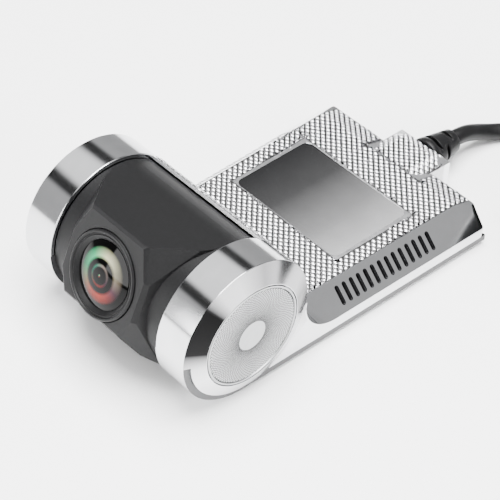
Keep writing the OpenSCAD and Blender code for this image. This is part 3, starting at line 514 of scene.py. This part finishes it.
def evaluated(obj):
    """The mesh of obj with its modifiers applied."""
    graph = bpy.context.evaluated_depsgraph_get()
    return bpy.data.meshes.new_from_object(obj.evaluated_get(graph))


def link(name, bm):
    mesh = bpy.data.meshes.new(name)
    bm.to_mesh(mesh)
    bm.free()
    obj = bpy.data.objects.new(name, mesh)
    bpy.context.scene.collection.objects.link(obj)
    return obj


def piece(name, bm, materials, body="housing", nodes=(), head=False, sharp=32):
    """Puts a shape that was drawn in millimetres from the barrel's axis into the frame."""
    bmesh.ops.remove_doubles(bm, verts=bm.verts, dist=0.0005)
    bmesh.ops.recalc_face_normals(bm, faces=bm.faces)
    bmesh.ops.transform(bm, matrix=place(head), verts=bm.verts)
    obj = link(name, bm)
    for material in materials:
        obj.data.materials.append(material)
    obj.data.polygons.foreach_set("use_smooth", [True] * len(obj.data.polygons))
    obj.data.set_sharp_from_angle(angle=math.radians(sharp))
    weighted = obj.modifiers.new("weighted", "WEIGHTED_NORMAL")
    weighted.keep_sharp = True
    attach(obj, body)
    if nodes:
        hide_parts(*nodes)
    print(name, "faces:", len(obj.data.polygons))
    return obj


def from_cad(node, soft, segments=3, head=False, turn=30):
    """The CAD node's own shape in millimetres, with its edges rounded by soft."""
    source = frame["nodes"][node]
    bm = bmesh.new()
    bm.from_mesh(source.data)
    bmesh.ops.transform(bm, matrix=place(head).inverted() @ source.matrix_world, verts=bm.verts)
    bmesh.ops.remove_doubles(bm, verts=bm.verts, dist=0.003)
    bmesh.ops.dissolve_limit(bm, angle_limit=0.01, verts=bm.verts, edges=bm.edges)
    bmesh.ops.recalc_face_normals(bm, faces=bm.faces)
    corners = []
    for edge in bm.edges if soft else ():
        if len(edge.link_faces) == 2 and edge.calc_face_angle(0) > math.radians(turn):
            corners.append(edge)
    bmesh.ops.bevel(
        bm,
        geom=corners,
        offset=soft,
        offset_type="OFFSET",
        segments=segments,
        profile=0.5,
        affect="EDGES",
        clamp_overlap=True,
        material=-1,
    )
    return bm


def mirrored(bm):
    """A copy of the shape on the other side of the barrel's middle."""
    other = bm.copy()
    bmesh.ops.transform(other, matrix=Matrix.Scale(-1, 4, (1, 0, 0)), verts=other.verts)
    bmesh.ops.reverse_faces(other, faces=other.faces)
    return other


print("tools ready")

# %% [markdown]
# ## The chromed side frames
# Each side is a ring with a bevelled outer end, and a sheet that leaves the ring in a hollow
# curve and runs to the rear as a sloping side. Fourteen slots are cut through the slope.

# %% Rings
RING_R = 15
X0, X1, X2 = 15.3, 22.9, 24.6
SKIN_R = 13.7
RIM_Z = -13.7
UNDER_Z = -15
ring_full = [(5.25, X0, 0), (RING_R, X0, 0.2), (RING_R, X1, 0.12), (11.0, X2, 0.08)]
ring_full += [(10.9, X2, 0), (10.9, 23.1, 0), (12.6, 23.1, 0), (12.6, 16.8, 0), (5.25, 16.8, 0)]
trim_x = X1 + (RING_R - SKIN_R) * (X2 - X1) / (RING_R - 11.0)
ring_low = [(5.25, X0, 0), (SKIN_R - 0.04, X0, 0), (SKIN_R - 0.04, trim_x, 0.1), (11.0, X2, 0.08)]
ring_low += ring_full[4:]
ring = turned(softened(ring_full), 0, 270, 168)
cut = ring.verts[:] + ring.edges[:] + ring.faces[:]
flat = bmesh.ops.bisect_plane(
    ring, geom=cut, plane_co=(0, 0, RIM_Z + 0.02), plane_no=(0, 0, -1), clear_outer=True
)
rim = [g for g in flat["geom_cut"] if isinstance(g, bmesh.types.BMEdge)]
bmesh.ops.holes_fill(ring, edges=rim, sides=0)
turned(softened(ring_low), -90, 0, 56, bm=ring)
print("ring faces:", len(ring.faces))

# %% [markdown]
# The slope is a grid: one way it follows the hollow and then the straight side, the other way it
# crosses from the flat top, over the slope, round the crease and down the upright strip.

# %% Sloping sides
FLARE = math.radians(1.1)
FACET = 5.0
CREASE_Z = -11.6
TOP_Z = -6.7
BODY_L = 63.3
SLOPE_Y = 58.7
CORNER = 1.4
ARC_OUT = (22.72, -3.6, 8.0, 171)
ARC_IN = (17.74, -3.6, 3.1, 168.5)
SHEET = 0.9
FOOT_REACH = 9.0


def section(y, z_in, z_out, y_in=None, away=(0, -1)):
    """Points from the inner edge of the slope to the foot of the strip, in the splayed frame."""
    y_in = y if y_in is None else y_in
    drop = 0
    if y > SLOPE_Y:
        drop = 1.3 * (y - SLOPE_Y) / 4.6
    back_in = 0
    if y > BODY_L - CORNER:
        back_in = CORNER - math.sqrt(max(0, CORNER**2 - (y - BODY_L + CORNER) ** 2))
    lost = drop / (z_in - z_out)
    points = [Vector((X1 - FACET, y_in, z_in - drop))]
    for share in (0.02, 0.2, 0.5, 0.8, 0.955, 0.985):
        v = lost + (1 - lost) * share
        z = z_in + (z_out - z_in) * v
        points.append(Vector((X1 - FACET * (1 - v) - back_in * v, y_in + (y - y_in) * v, z)))
    soft = [(0.06, 0.06), (0.015, 0.2), (0.0, 0.34)]
    for dx, step in soft:
        points.append(Vector((X1 - dx - back_in, y + away[0] * step, z_out + away[1] * step)))
    points.append(Vector((X1 - back_in, y + away[0] * FOOT_REACH, RIM_Z)))
    return points


rows = []
for k in range(25):
    t = k / 24
    a_in = math.radians(ARC_IN[3] + (270 - ARC_IN[3]) * t)
    a_out = math.radians(ARC_OUT[3] + (270 - ARC_OUT[3]) * t)
    y_in = ARC_IN[0] + ARC_IN[2] * math.cos(a_in)
    z_in = ARC_IN[1] + ARC_IN[2] * math.sin(a_in)
    y_out = ARC_OUT[0] + ARC_OUT[2] * math.cos(a_out)
    z_out = ARC_OUT[1] + ARC_OUT[2] * math.sin(a_out)
    rows.append(section(y_out, z_in, z_out, y_in, (math.cos(a_out), math.sin(a_out))))
straight = [24 + 2 * k for k in range(18)]
round_end = [SLOPE_Y, 60.3, 61.9, 62.2, 62.5, 62.75, 62.95, 63.1, 63.2]
for y in straight + round_end:
    rows.append(section(y, TOP_Z, CREASE_Z))
rows.append(section(BODY_L, TOP_Z, CREASE_Z))
rows.append([Vector((p.x, p.y, RIM_Z)) for p in rows[-1]])
side = bmesh.new()
across = len(rows[0])
bmesh.ops.create_grid(side, x_segments=across - 1, y_segments=len(rows) - 1, size=1)
side.verts.ensure_lookup_table()
spread = Matrix.Translation((X1, 0, 0)) @ Matrix.Rotation(-FLARE, 4, "Z")
spread = spread @ Matrix.Translation((-X1, 0, 0))
for i, vert in enumerate(side.verts):
    vert.co = spread @ rows[i // across][i % across]
bmesh.ops.remove_doubles(side, verts=side.verts, dist=0.0005)
bmesh.ops.recalc_face_normals(side, faces=side.faces)
if sum((f.normal.x + f.normal.z) * f.calc_area() for f in side.faces) < 0:
    bmesh.ops.reverse_faces(side, faces=side.faces)
print("side sheet faces:", len(side.faces))

# %% [markdown]
# The slots are cut by long rounded blocks, one for each, turned square to the slope.

# %% Vents
VENTS = 14
VENT_PITCH = 1.84
VENT_W = 0.95
VENT_L = 4.1
VENT_MID = 37.8
cutter = bmesh.new()
lean = math.atan2(TOP_Z - CREASE_Z, FACET)
half = VENT_L / 2 - VENT_W / 2
slot_outline = arc(half, 0, VENT_W / 2, -90, 90, 8) + arc(-half, 0, VENT_W / 2, 90, 270, 8)
for i in range(VENTS):
    y = VENT_MID + (i - (VENTS - 1) / 2) * VENT_PITCH
    ring_verts = [cutter.verts.new((a, b, -3)) for a, b in slot_outline]
    face = cutter.faces.new(ring_verts)
    out = bmesh.ops.extrude_face_region(cutter, geom=[face])
    top = [g for g in out["geom"] if isinstance(g, bmesh.types.BMVert)]
    bmesh.ops.translate(cutter, verts=top, vec=(0, 0, 6))
    where = spread @ Matrix.Translation((X1 - FACET / 2, y, (TOP_Z + CREASE_Z) / 2))
    where = where @ Matrix.Rotation(lean, 4, "Y")
    bmesh.ops.transform(cutter, matrix=where, verts=ring_verts + top)
bmesh.ops.recalc_face_normals(cutter, faces=cutter.faces)
cutter_obj = link("vent_cutter", cutter)
side_obj = link("side_sheet", side)
thick = side_obj.modifiers.new("thick", "SOLIDIFY")
thick.thickness = SHEET
thick.offset = -1
cuts = side_obj.modifiers.new("cuts", "BOOLEAN")
cuts.object = cutter_obj
cuts.solver = "EXACT"
side_mesh = evaluated(side_obj)
bpy.data.objects.remove(side_obj)
bpy.data.objects.remove(cutter_obj)
frame_right = ring
frame_right.from_mesh(side_mesh)
print("side with its vents, faces:", len(frame_right.faces))

# %% [markdown]
# A dark strip behind the slots stands in for the shade inside the body, so that they don't show the
# light of the floor.
# The bevelled cone of the ring has its own finish, a painted reflection: it is nearly black where
# it faces forwards. A mirror would do that by itself in a dark room, but here the reflection is
# painted as a tone round the barrel's axis.

# %% Slot shade lining and bevel with painted reflection
# A dark block behind the slots stands in for the shade inside the body.
shade_lining = bmesh.ops.create_cube(frame_right, size=1)["verts"]
below = spread @ Matrix.Translation((X1 - FACET / 2, VENT_MID, (TOP_Z + CREASE_Z) / 2))
below = below @ Matrix.Rotation(lean, 4, "Y") @ Matrix.Translation((0, 0, -1.5))
bmesh.ops.transform(
    frame_right, matrix=below @ Matrix.Diagonal((5.0, 27.0, 0.3, 1)), verts=shade_lining
)
for face in {f for v in shade_lining for f in v.link_faces}:
    face.material_index = 1
# The faces of the ring's bevelled cone take the chrome with a painted reflection.
for face in frame_right.faces:
    c = face.calc_center_median()
    if X1 - 0.02 < c.x < X2 and 10.95 < math.hypot(c.y, c.z) < 15.1 and c.y < 14.6:
        face.material_index = 2


def bevel_painted_reflection():
    """Chrome with a painted reflection: its tone runs round the barrel, dark where the bevel faces
    forwards.
    """
    material, tree, shader = new_material("bevel_painted_reflection")
    where = add(tree, "ShaderNodeTexCoord")
    split = add(tree, "ShaderNodeSeparateXYZ")
    tree.links.new(where.outputs["Object"], split.inputs["Vector"])
    ahead = add(tree, "ShaderNodeMath", operation="MULTIPLY_ADD")
    ahead.inputs[1].default_value = -1
    ahead.inputs[2].default_value = AXIS.y
    tree.links.new(split.outputs["Y"], ahead.inputs[0])
    above = add(tree, "ShaderNodeMath", operation="SUBTRACT")
    above.inputs[1].default_value = AXIS.z
    tree.links.new(split.outputs["Z"], above.inputs[0])
    angle = add(tree, "ShaderNodeMath", operation="ARCTAN2")
    tree.links.new(above.outputs[0], angle.inputs[0])
    tree.links.new(ahead.outputs[0], angle.inputs[1])
    span = add(tree, "ShaderNodeMapRange")
    span.inputs["From Min"].default_value = -math.pi
    span.inputs["From Max"].default_value = math.pi
    tree.links.new(angle.outputs[0], span.inputs["Value"])
    # Painted reflection: bright and dark bands by angle round the barrel's axis.
    painted_reflection_tones = [(0, 0.1), (0.08, 0.6), (0.44, 0.7), (0.49, 0.5), (0.535, 0.01), (0.64, 0.005)]
    painted_reflection_tones += [(0.675, 0.4), (0.72, 0.5), (0.79, 0.2), (0.86, 0.35), (0.93, 0.3), (0.97, 0.08)]
    stops = [(where_at, (tone, tone, tone * 1.02)) for where_at, tone in painted_reflection_tones]
    tree.links.new(ramp(tree, span.outputs["Result"], stops), shader.inputs["Base Color"])
    shader.inputs["Metallic"].default_value = 1
    roughness_and_bump(tree, shader, noise(tree, 300), 0.12, 0.18, 0.02)
    return material


bevel = bevel_painted_reflection()
frame_left = mirrored(frame_right)
chrome = finishes["chrome"]
sides = [chrome, finishes["satin_black"], bevel]
piece("chrome_side_right", frame_right, sides, nodes=["side_frame_right"],
      sharp=20)
piece("chrome_side_left", frame_left, sides, nodes=["side_frame_left"], sharp=20)

# %% [markdown]
# ## The bottom shell
# Its silvered skin curves up under the front of the rings, and its cut edge is dark.

# %% Bottom shell
shell = from_cad("bottom_shell", 0)
for face in shell.faces:
    if abs(face.normal.x) > 0.7 or face.normal.y > 0.7:
        face.material_index = 1
piece("bottom_skin", shell, [chrome, cut_edge], nodes=["bottom_shell"])

# %% [markdown]
# ## The knurled cover
# On the real cover a roller has pressed rows of small lozenges into the metal. A bump could fake
# them, but they catch the light at the edge of the lip, so here they are real. The faces of a
# slanting grid, laid out flat, are each inset three times: a groove, a shoulder and a crown. The
# sheet is then bent over the lip behind the drum, down the hollow and out along the flat top.

# %% Knurl
CELL_A = Vector((0.81, 0.66))
CELL_B = Vector((0.77, -0.75))
LIP_TOP = 46.0
BLEND_R = 3.1
BLEND_Y = 17.74
BLEND_Z = -3.6
ARC_END = -11.47
LIP_LEN = math.radians(LIP_TOP - ARC_END) * RING_R
BLEND_LEN = math.radians(270 - 168.53) * BLEND_R
FLAT_S = LIP_LEN + BLEND_LEN
SLOPE_S = FLAT_S + SLOPE_Y - BLEND_Y
SLOPE_LEN = math.hypot(4.6, 1.3)
BODY_S = SLOPE_S + SLOPE_LEN
TAB_MID = 1.5
TAB_HALF = 6.9
TAB_L = 68.7
TAB_S = FLAT_S + TAB_L - 2.4 - BLEND_Y
TAB_END_S = TAB_S + math.hypot(2.4, 1.2)
COVER_HALF = X1 - 5.05
PANEL_MID_S = FLAT_S + 40.3 - BLEND_Y
PANEL_W, PANEL_L, PANEL_R = 28.8, 19.7, 1.6
LIFT = 0.02
LATTICE_AHEAD = 36
LATTICE_COUNT = 84
CELL_GAP = 0.22
CELL_SOFT = 0.16
CELL_H = 0.22
LEAST_CELL = 0.4


def bend(x, s, h, on_tab):
    """The point at height h over the cover, s along it from the lip's top edge."""
    if s < LIP_LEN:
        a = math.radians(LIP_TOP) - s / RING_R
        r = RING_R + h
        return Vector((x, r * math.cos(a), r * math.sin(a)))
    if s < FLAT_S:
        a = math.radians(168.53) + (s - LIP_LEN) / BLEND_R
        r = BLEND_R - h
        return Vector((x, BLEND_Y + r * math.cos(a), BLEND_Z + r * math.sin(a)))
    start, run, drop = (TAB_S, 2.4, 1.2) if on_tab else (SLOPE_S, 4.6, 1.3)
    y = BLEND_Y + s - FLAT_S
    if s < start:
        z = TOP_Z + h
        if on_tab:
            z -= max(0, abs(x - TAB_MID) - TAB_HALF + 2.4) * 0.5
        return Vector((x, y, z))
    t = (s - start) / math.hypot(run, drop)
    y = BLEND_Y + start - FLAT_S + run * t
    z = TOP_Z - drop * t + h
    if on_tab:
        z -= max(0, abs(x - TAB_MID) - TAB_HALF + 2.4) * 0.5
    return Vector((x, y, z))


def keep_region(bm, planes, only=None):
    """Cuts the sheet along each plane (point, outward normal) and drops what lies outside."""
    for point, normal in planes:
        faces = [f for f in bm.faces if only is None or only(f.calc_center_median())]
        geom = list({v for f in faces for v in f.verts}) + list({e for f in faces for e in f.edges})
        bmesh.ops.bisect_plane(
            bm, geom=geom + faces, plane_co=(*point, 0), plane_no=(*normal, 0), clear_outer=True
        )


def knurl_sheet(x_a, x_b, s_a, s_b):
    """A flat sheet of lozenges between the given limits, in x and s."""
    bm = bmesh.new()
    count = LATTICE_COUNT
    bmesh.ops.create_grid(bm, x_segments=count, y_segments=count, size=count / 2)
    lattice = Matrix.Identity(4)
    lattice[0][:2] = CELL_A.x, CELL_B.x
    lattice[1][:2] = CELL_A.y, CELL_B.y
    lattice[1][3] = LATTICE_AHEAD
    bmesh.ops.transform(bm, matrix=lattice, verts=bm.verts)
    far = []
    for face in bm.faces:
        c = face.calc_center_median()
        if not (x_a - 1 < c.x < x_b + 1 and s_a - 1 < c.y < s_b + 1):
            far.append(face)
    bmesh.ops.delete(bm, geom=far, context="FACES")
    limits = [((x_b, 0), (1, 0)), ((x_a, 0), (-1, 0)), ((0, s_b), (0, 1)), ((0, s_a), (0, -1))]
    keep_region(bm, limits)
    return bm


def cut_out(bm, x_a, x_b, s_a, s_b):
    """Takes a rectangle out of the sheet, cutting only the cells that its edges cross."""
    for point, normal, lo, hi, i in [
        ((x_a, 0), (1, 0), s_a, s_b, 1),
        ((x_b, 0), (1, 0), s_a, s_b, 1),
        ((0, s_a), (0, 1), x_a, x_b, 0),
        ((0, s_b), (0, 1), x_a, x_b, 0),
    ]:
        near = [f for f in bm.faces if lo - 0.6 < f.calc_center_median()[i] < hi + 0.6]
        geom = list({v for f in near for v in f.verts}) + list({e for f in near for e in f.edges})
        bmesh.ops.bisect_plane(bm, geom=geom + near, plane_co=(*point, 0), plane_no=(*normal, 0))
    inner = []
    for face in bm.faces:
        c = face.calc_center_median()
        if x_a < c.x < x_b and s_a < c.y < s_b:
            inner.append(face)
    bmesh.ops.delete(bm, geom=inner, context="FACES")


def raise_cells(bm, gap, soft, height):
    """Makes a rounded lozenge of every face: a groove round it in near black, which is painted
    shade, then a shoulder and a crown.
    """
    cells = [f for f in bm.faces if f.calc_area() > LEAST_CELL]
    # The grooves keep the near-black groove finish, which is painted shade; the raised cells are
    # set to the metal.
    for face in bm.faces:
        face.material_index = 1
    for width, depth in [(gap, 0), (soft * 0.45, height * 0.7), (soft, height * 0.3)]:
        bmesh.ops.inset_individual(bm, faces=cells, thickness=width, depth=0)
        if depth:
            for v in {v for f in cells for v in f.verts}:
                v.co.z += depth
            for face in cells:
                for edge in face.edges:
                    for side_face in edge.link_faces:
                        side_face.material_index = 0


parts = []
for on_tab, limits in [
    (False, (-15.1, 15.1, 0.05, LIP_LEN)),
    (False, (-COVER_HALF, COVER_HALF, LIP_LEN, BODY_S - 0.05)),
    (True, (TAB_MID - TAB_HALF + 0.15, TAB_MID + TAB_HALF - 0.15, SLOPE_S + 0.1, TAB_END_S - 0.05)),
]:
    part = knurl_sheet(*limits)
    if limits[2] == LIP_LEN:
        half_w = PANEL_W / 2 + 0.25
        half_l = PANEL_L / 2 + 0.25
        cut_out(part, -half_w, half_w, PANEL_MID_S - half_l, PANEL_MID_S + half_l)
        cut_out(part, TAB_MID - TAB_HALF, TAB_MID + TAB_HALF, SLOPE_S + 0.1, BODY_S + 1)
    raise_cells(part, CELL_GAP, CELL_SOFT, CELL_H)
    for v in part.verts:
        splay = 1
        if limits[2] == LIP_LEN and v.co.y > FLAT_S:
            y = BLEND_Y + min(v.co.y, BODY_S) - FLAT_S
            splay = (COVER_HALF + y * math.tan(FLARE)) / COVER_HALF
        v.co = bend(v.co.x * splay, v.co.y, v.co.z + LIFT, on_tab)
    parts.append(part)
knurl = bmesh.new()
for part in parts:
    joined = bpy.data.meshes.new("joined")
    part.to_mesh(joined)
    part.free()
    knurl.from_mesh(joined)
    bpy.data.meshes.remove(joined)
knurled = [finishes["knurled_metal"], groove]
bmesh.ops.recalc_face_normals(knurl, faces=knurl.faces)
piece("knurl", knurl, knurled, sharp=75)
cover = from_cad("knurled_cover", 0)
piece("cover", cover, knurled, nodes=["knurled_cover"])

# %% [markdown]
# ## The inset panel
# A mirror-like plate with a raised bright rim. Its colour runs from dark at the left to pale at
# the right: a painted reflection across the plate.

# %% Panel
panel = bmesh.new()
w, l = PANEL_W / 2 + 0.1, PANEL_L / 2 + 0.1
corners = [(-w, -l, PANEL_R), (w, -l, PANEL_R), (w, l, PANEL_R), (-w, l, PANEL_R)]
ring_of = [panel.verts.new((p.x, 40.3 + p.y, TOP_Z - 0.3)) for p in softened(corners, 8)]
plate = panel.faces.new(ring_of)
plate.normal_update()
bmesh.ops.inset_region(panel, faces=[plate], thickness=0.1, depth=0)
for width, height in [(0.12, 0.55), (0.3, 0), (0.12, -0.3)]:
    bmesh.ops.inset_region(panel, faces=[plate], thickness=width, depth=0)
    for v in plate.verts:
        v.co.z += height
for face in panel.faces:
    face.material_index = 0 if face == plate else 1


# The plate's colour is a painted reflection: dark at the left, pale at the right.
def panel_painted_reflection():
    material, tree, shader = new_material("panel_painted_reflection")
    where = add(tree, "ShaderNodeTexCoord")
    split = add(tree, "ShaderNodeSeparateXYZ")
    tree.links.new(where.outputs["Object"], split.inputs["Vector"])
    span = add(tree, "ShaderNodeMapRange")
    span.inputs["From Min"].default_value = -0.0144
    span.inputs["From Max"].default_value = 0.0144
    tree.links.new(split.outputs["X"], span.inputs["Value"])
    stops = [(0, (0.05, 0.05, 0.052)), (0.35, (0.12, 0.12, 0.122)), (0.7, (0.45, 0.45, 0.455))]
    stops.append((1, (0.95, 0.95, 0.96)))
    tree.links.new(ramp(tree, span.outputs["Result"], stops), shader.inputs["Base Color"])
    shader.inputs["Metallic"].default_value = 0.85
    roughness_and_bump(tree, shader, noise(tree, 200), 0.14, 0.2, 0.02)
    return material


piece(
    "glossy_panel",
    panel,
    [panel_painted_reflection(), chrome],
    nodes=["inset_panel"],
)

# %% [markdown]
# ## The end discs
# A polar grid is poked and its old edges dissolved, which leaves lozenges that run in spirals
# both ways. Each is inset to stand a little proud. The middle and the rim stay smooth.

# %% End discs
DISC_R = 10.66
DISC_X = X2 - 0.12
SPOKES = 84


def disc_shape():
    bm = bmesh.new()
    rings = [3.2]
    while rings[-1] < 10.2:
        rings.append(rings[-1] * 1.072)
    rings = [r * 10.2 / rings[-1] for r in rings]
    line = [bm.verts.new((DISC_X, -r, 0)) for r in rings]
    edges = [bm.edges.new(pair) for pair in zip(line, line[1:])]
    bmesh.ops.spin(
        bm, geom=line + edges, cent=(0, 0, 0), axis=(1, 0, 0), angle=-math.tau, steps=SPOKES,
        use_merge=True,
    )
    bmesh.ops.remove_doubles(bm, verts=bm.verts, dist=0.001)
    old = [e for e in bm.edges if len(e.link_faces) == 2]
    bmesh.ops.poke(bm, faces=bm.faces)
    bmesh.ops.dissolve_edges(bm, edges=old, use_verts=False)
    bmesh.ops.recalc_face_normals(bm, faces=bm.faces)
    if sum(f.normal.x for f in bm.faces) < 0:
        bmesh.ops.reverse_faces(bm, faces=bm.faces)
    cells = [f for f in bm.faces if len(f.verts) == 4]
    # All faces start in the groove finish, which is painted shade; the raised lozenges then take
    # the disc's metal.
    for face in bm.faces:
        face.material_index = 1
    bmesh.ops.inset_individual(bm, faces=cells, thickness=0.07, depth=0.0)
    for face in cells:
        face.material_index = 0
        for v in face.verts:
            v.co.x += 0.06
    low, high = rings[0], rings[-1]
    rim = [(high, DISC_X), (high + 0.08, DISC_X + 0.16), (DISC_R - 0.06, DISC_X + 0.16)]
    rim += [(DISC_R, DISC_X + 0.1), (DISC_R, 23.1), (12.3, 23.1), (12.3, 21.6), (0.02, 21.6)]
    rim += [(0.02, DISC_X - 0.12), (low * 0.5, DISC_X - 0.08), (low * 0.9, DISC_X), (low, DISC_X)]
    turned([Vector(p) for p in rim], 0, 360, 128, bm=bm)
    return bm


disc_pair = [finishes["end_disc"], finishes["disc_groove"]]
piece("button_disc", disc_shape(), disc_pair, body="button", nodes=["end_button"],
      sharp=40)
left_disc = mirrored(disc_shape())
piece("left_disc", left_disc, disc_pair, nodes=["end_cap_left"],
      sharp=40)

# %% [markdown]
# ## The camera head
# The two drum shells and the eight-sided nose take their shape from the CAD, with their edges
# rounded. The bezel and the front lens are turned.

# %% Head


def lens_turned(outline, steps=96):
    """A closed outline of (radius, distance in front of the axis) turned about the lens axis."""
    bm = bmesh.new()
    ring_verts = [bm.verts.new((r, -d, 0)) for r, d in outline]
    edges = [bm.edges.new((ring_verts[i - 1], ring_verts[i])) for i in range(len(ring_verts))]
    bmesh.ops.spin(
        bm, geom=ring_verts + edges, cent=(0, 0, 0), axis=(0, 1, 0), angle=math.tau, steps=steps,
        use_merge=True,
    )
    return bm


black = finishes["satin_black"]
front = from_cad("head_front_shell", 0.3, 3, head=True, turn=12)
piece("head_front", front, [black], "head", ["head_front_shell"], head=True)
rear = from_cad("head_rear_shell", 0.25, 3, head=True)
piece("head_rear", rear, [black], "head", ["head_rear_shell"], head=True)
bezel = [(6.55, 14.8, 0), (8.5, 14.8, 0), (8.5, 16.2, 0.1), (8.2, 16.4, 0.1), (7.9, 16.35, 0.05)]
bezel += [(7.75, 16.05, 0.05), (7.55, 16.05, 0.05), (7.4, 16.2, 0.05), (6.55, 15.5, 0.05)]
piece("bezel", lens_turned(softened(bezel)), [black], "head", ["lens_bezel"],
      head=True)

# %% [markdown]
# ## Lens
# The front lens is a dark dome with painted reflections: green at the left, straw above and red
# below, as its coatings reflect, and a painted highlight in the middle. Clear glass over the lenses
# behind would need many bounces of light to show those colours, so the dome carries them painted.
# The lenses behind it are clear glass.

# %% Lens
LENS_R = 6.5
LENS_BACK = 14.7
LENS_EDGE = 15.6
LENS_DOME = 1.1
POLE_R = 0.02
shares = [k / 12 for k in range(12, 0, -1)]
dome = [(LENS_R, LENS_BACK)] + [(LENS_R * k, LENS_EDGE + LENS_DOME * (1 - k**2)) for k in shares]
dome += [(POLE_R, LENS_EDGE + LENS_DOME), (POLE_R, LENS_BACK)]
piece("front_lens", lens_turned([Vector(p) for p in dome]), [finishes["lens_painted_reflections"]], "head",
      ["front_glass"], head=True, sharp=50)

# %% [markdown]
# ## Boot, tie and plug
# These small mouldings take the CAD's shape with rounded edges.

# %% Small mouldings
rubber = finishes["cable_black"]
piece("boot", from_cad("cable_boot", 0.12, 2), [rubber], nodes=["cable_boot"])
tie = piece("tie", from_cad("cable_tie", 0.3, 2), [black], nodes=["cable_tie"])
plug = piece("plug", from_cad("plug_body", 1.2, 3), [rubber], nodes=["plug_body"])

# %% [markdown]
# ## What the lead is
# The lead, the boot, the tie and the plug are all attached to the housing.

# %% Cord
print("pieces on the lead:", 5)
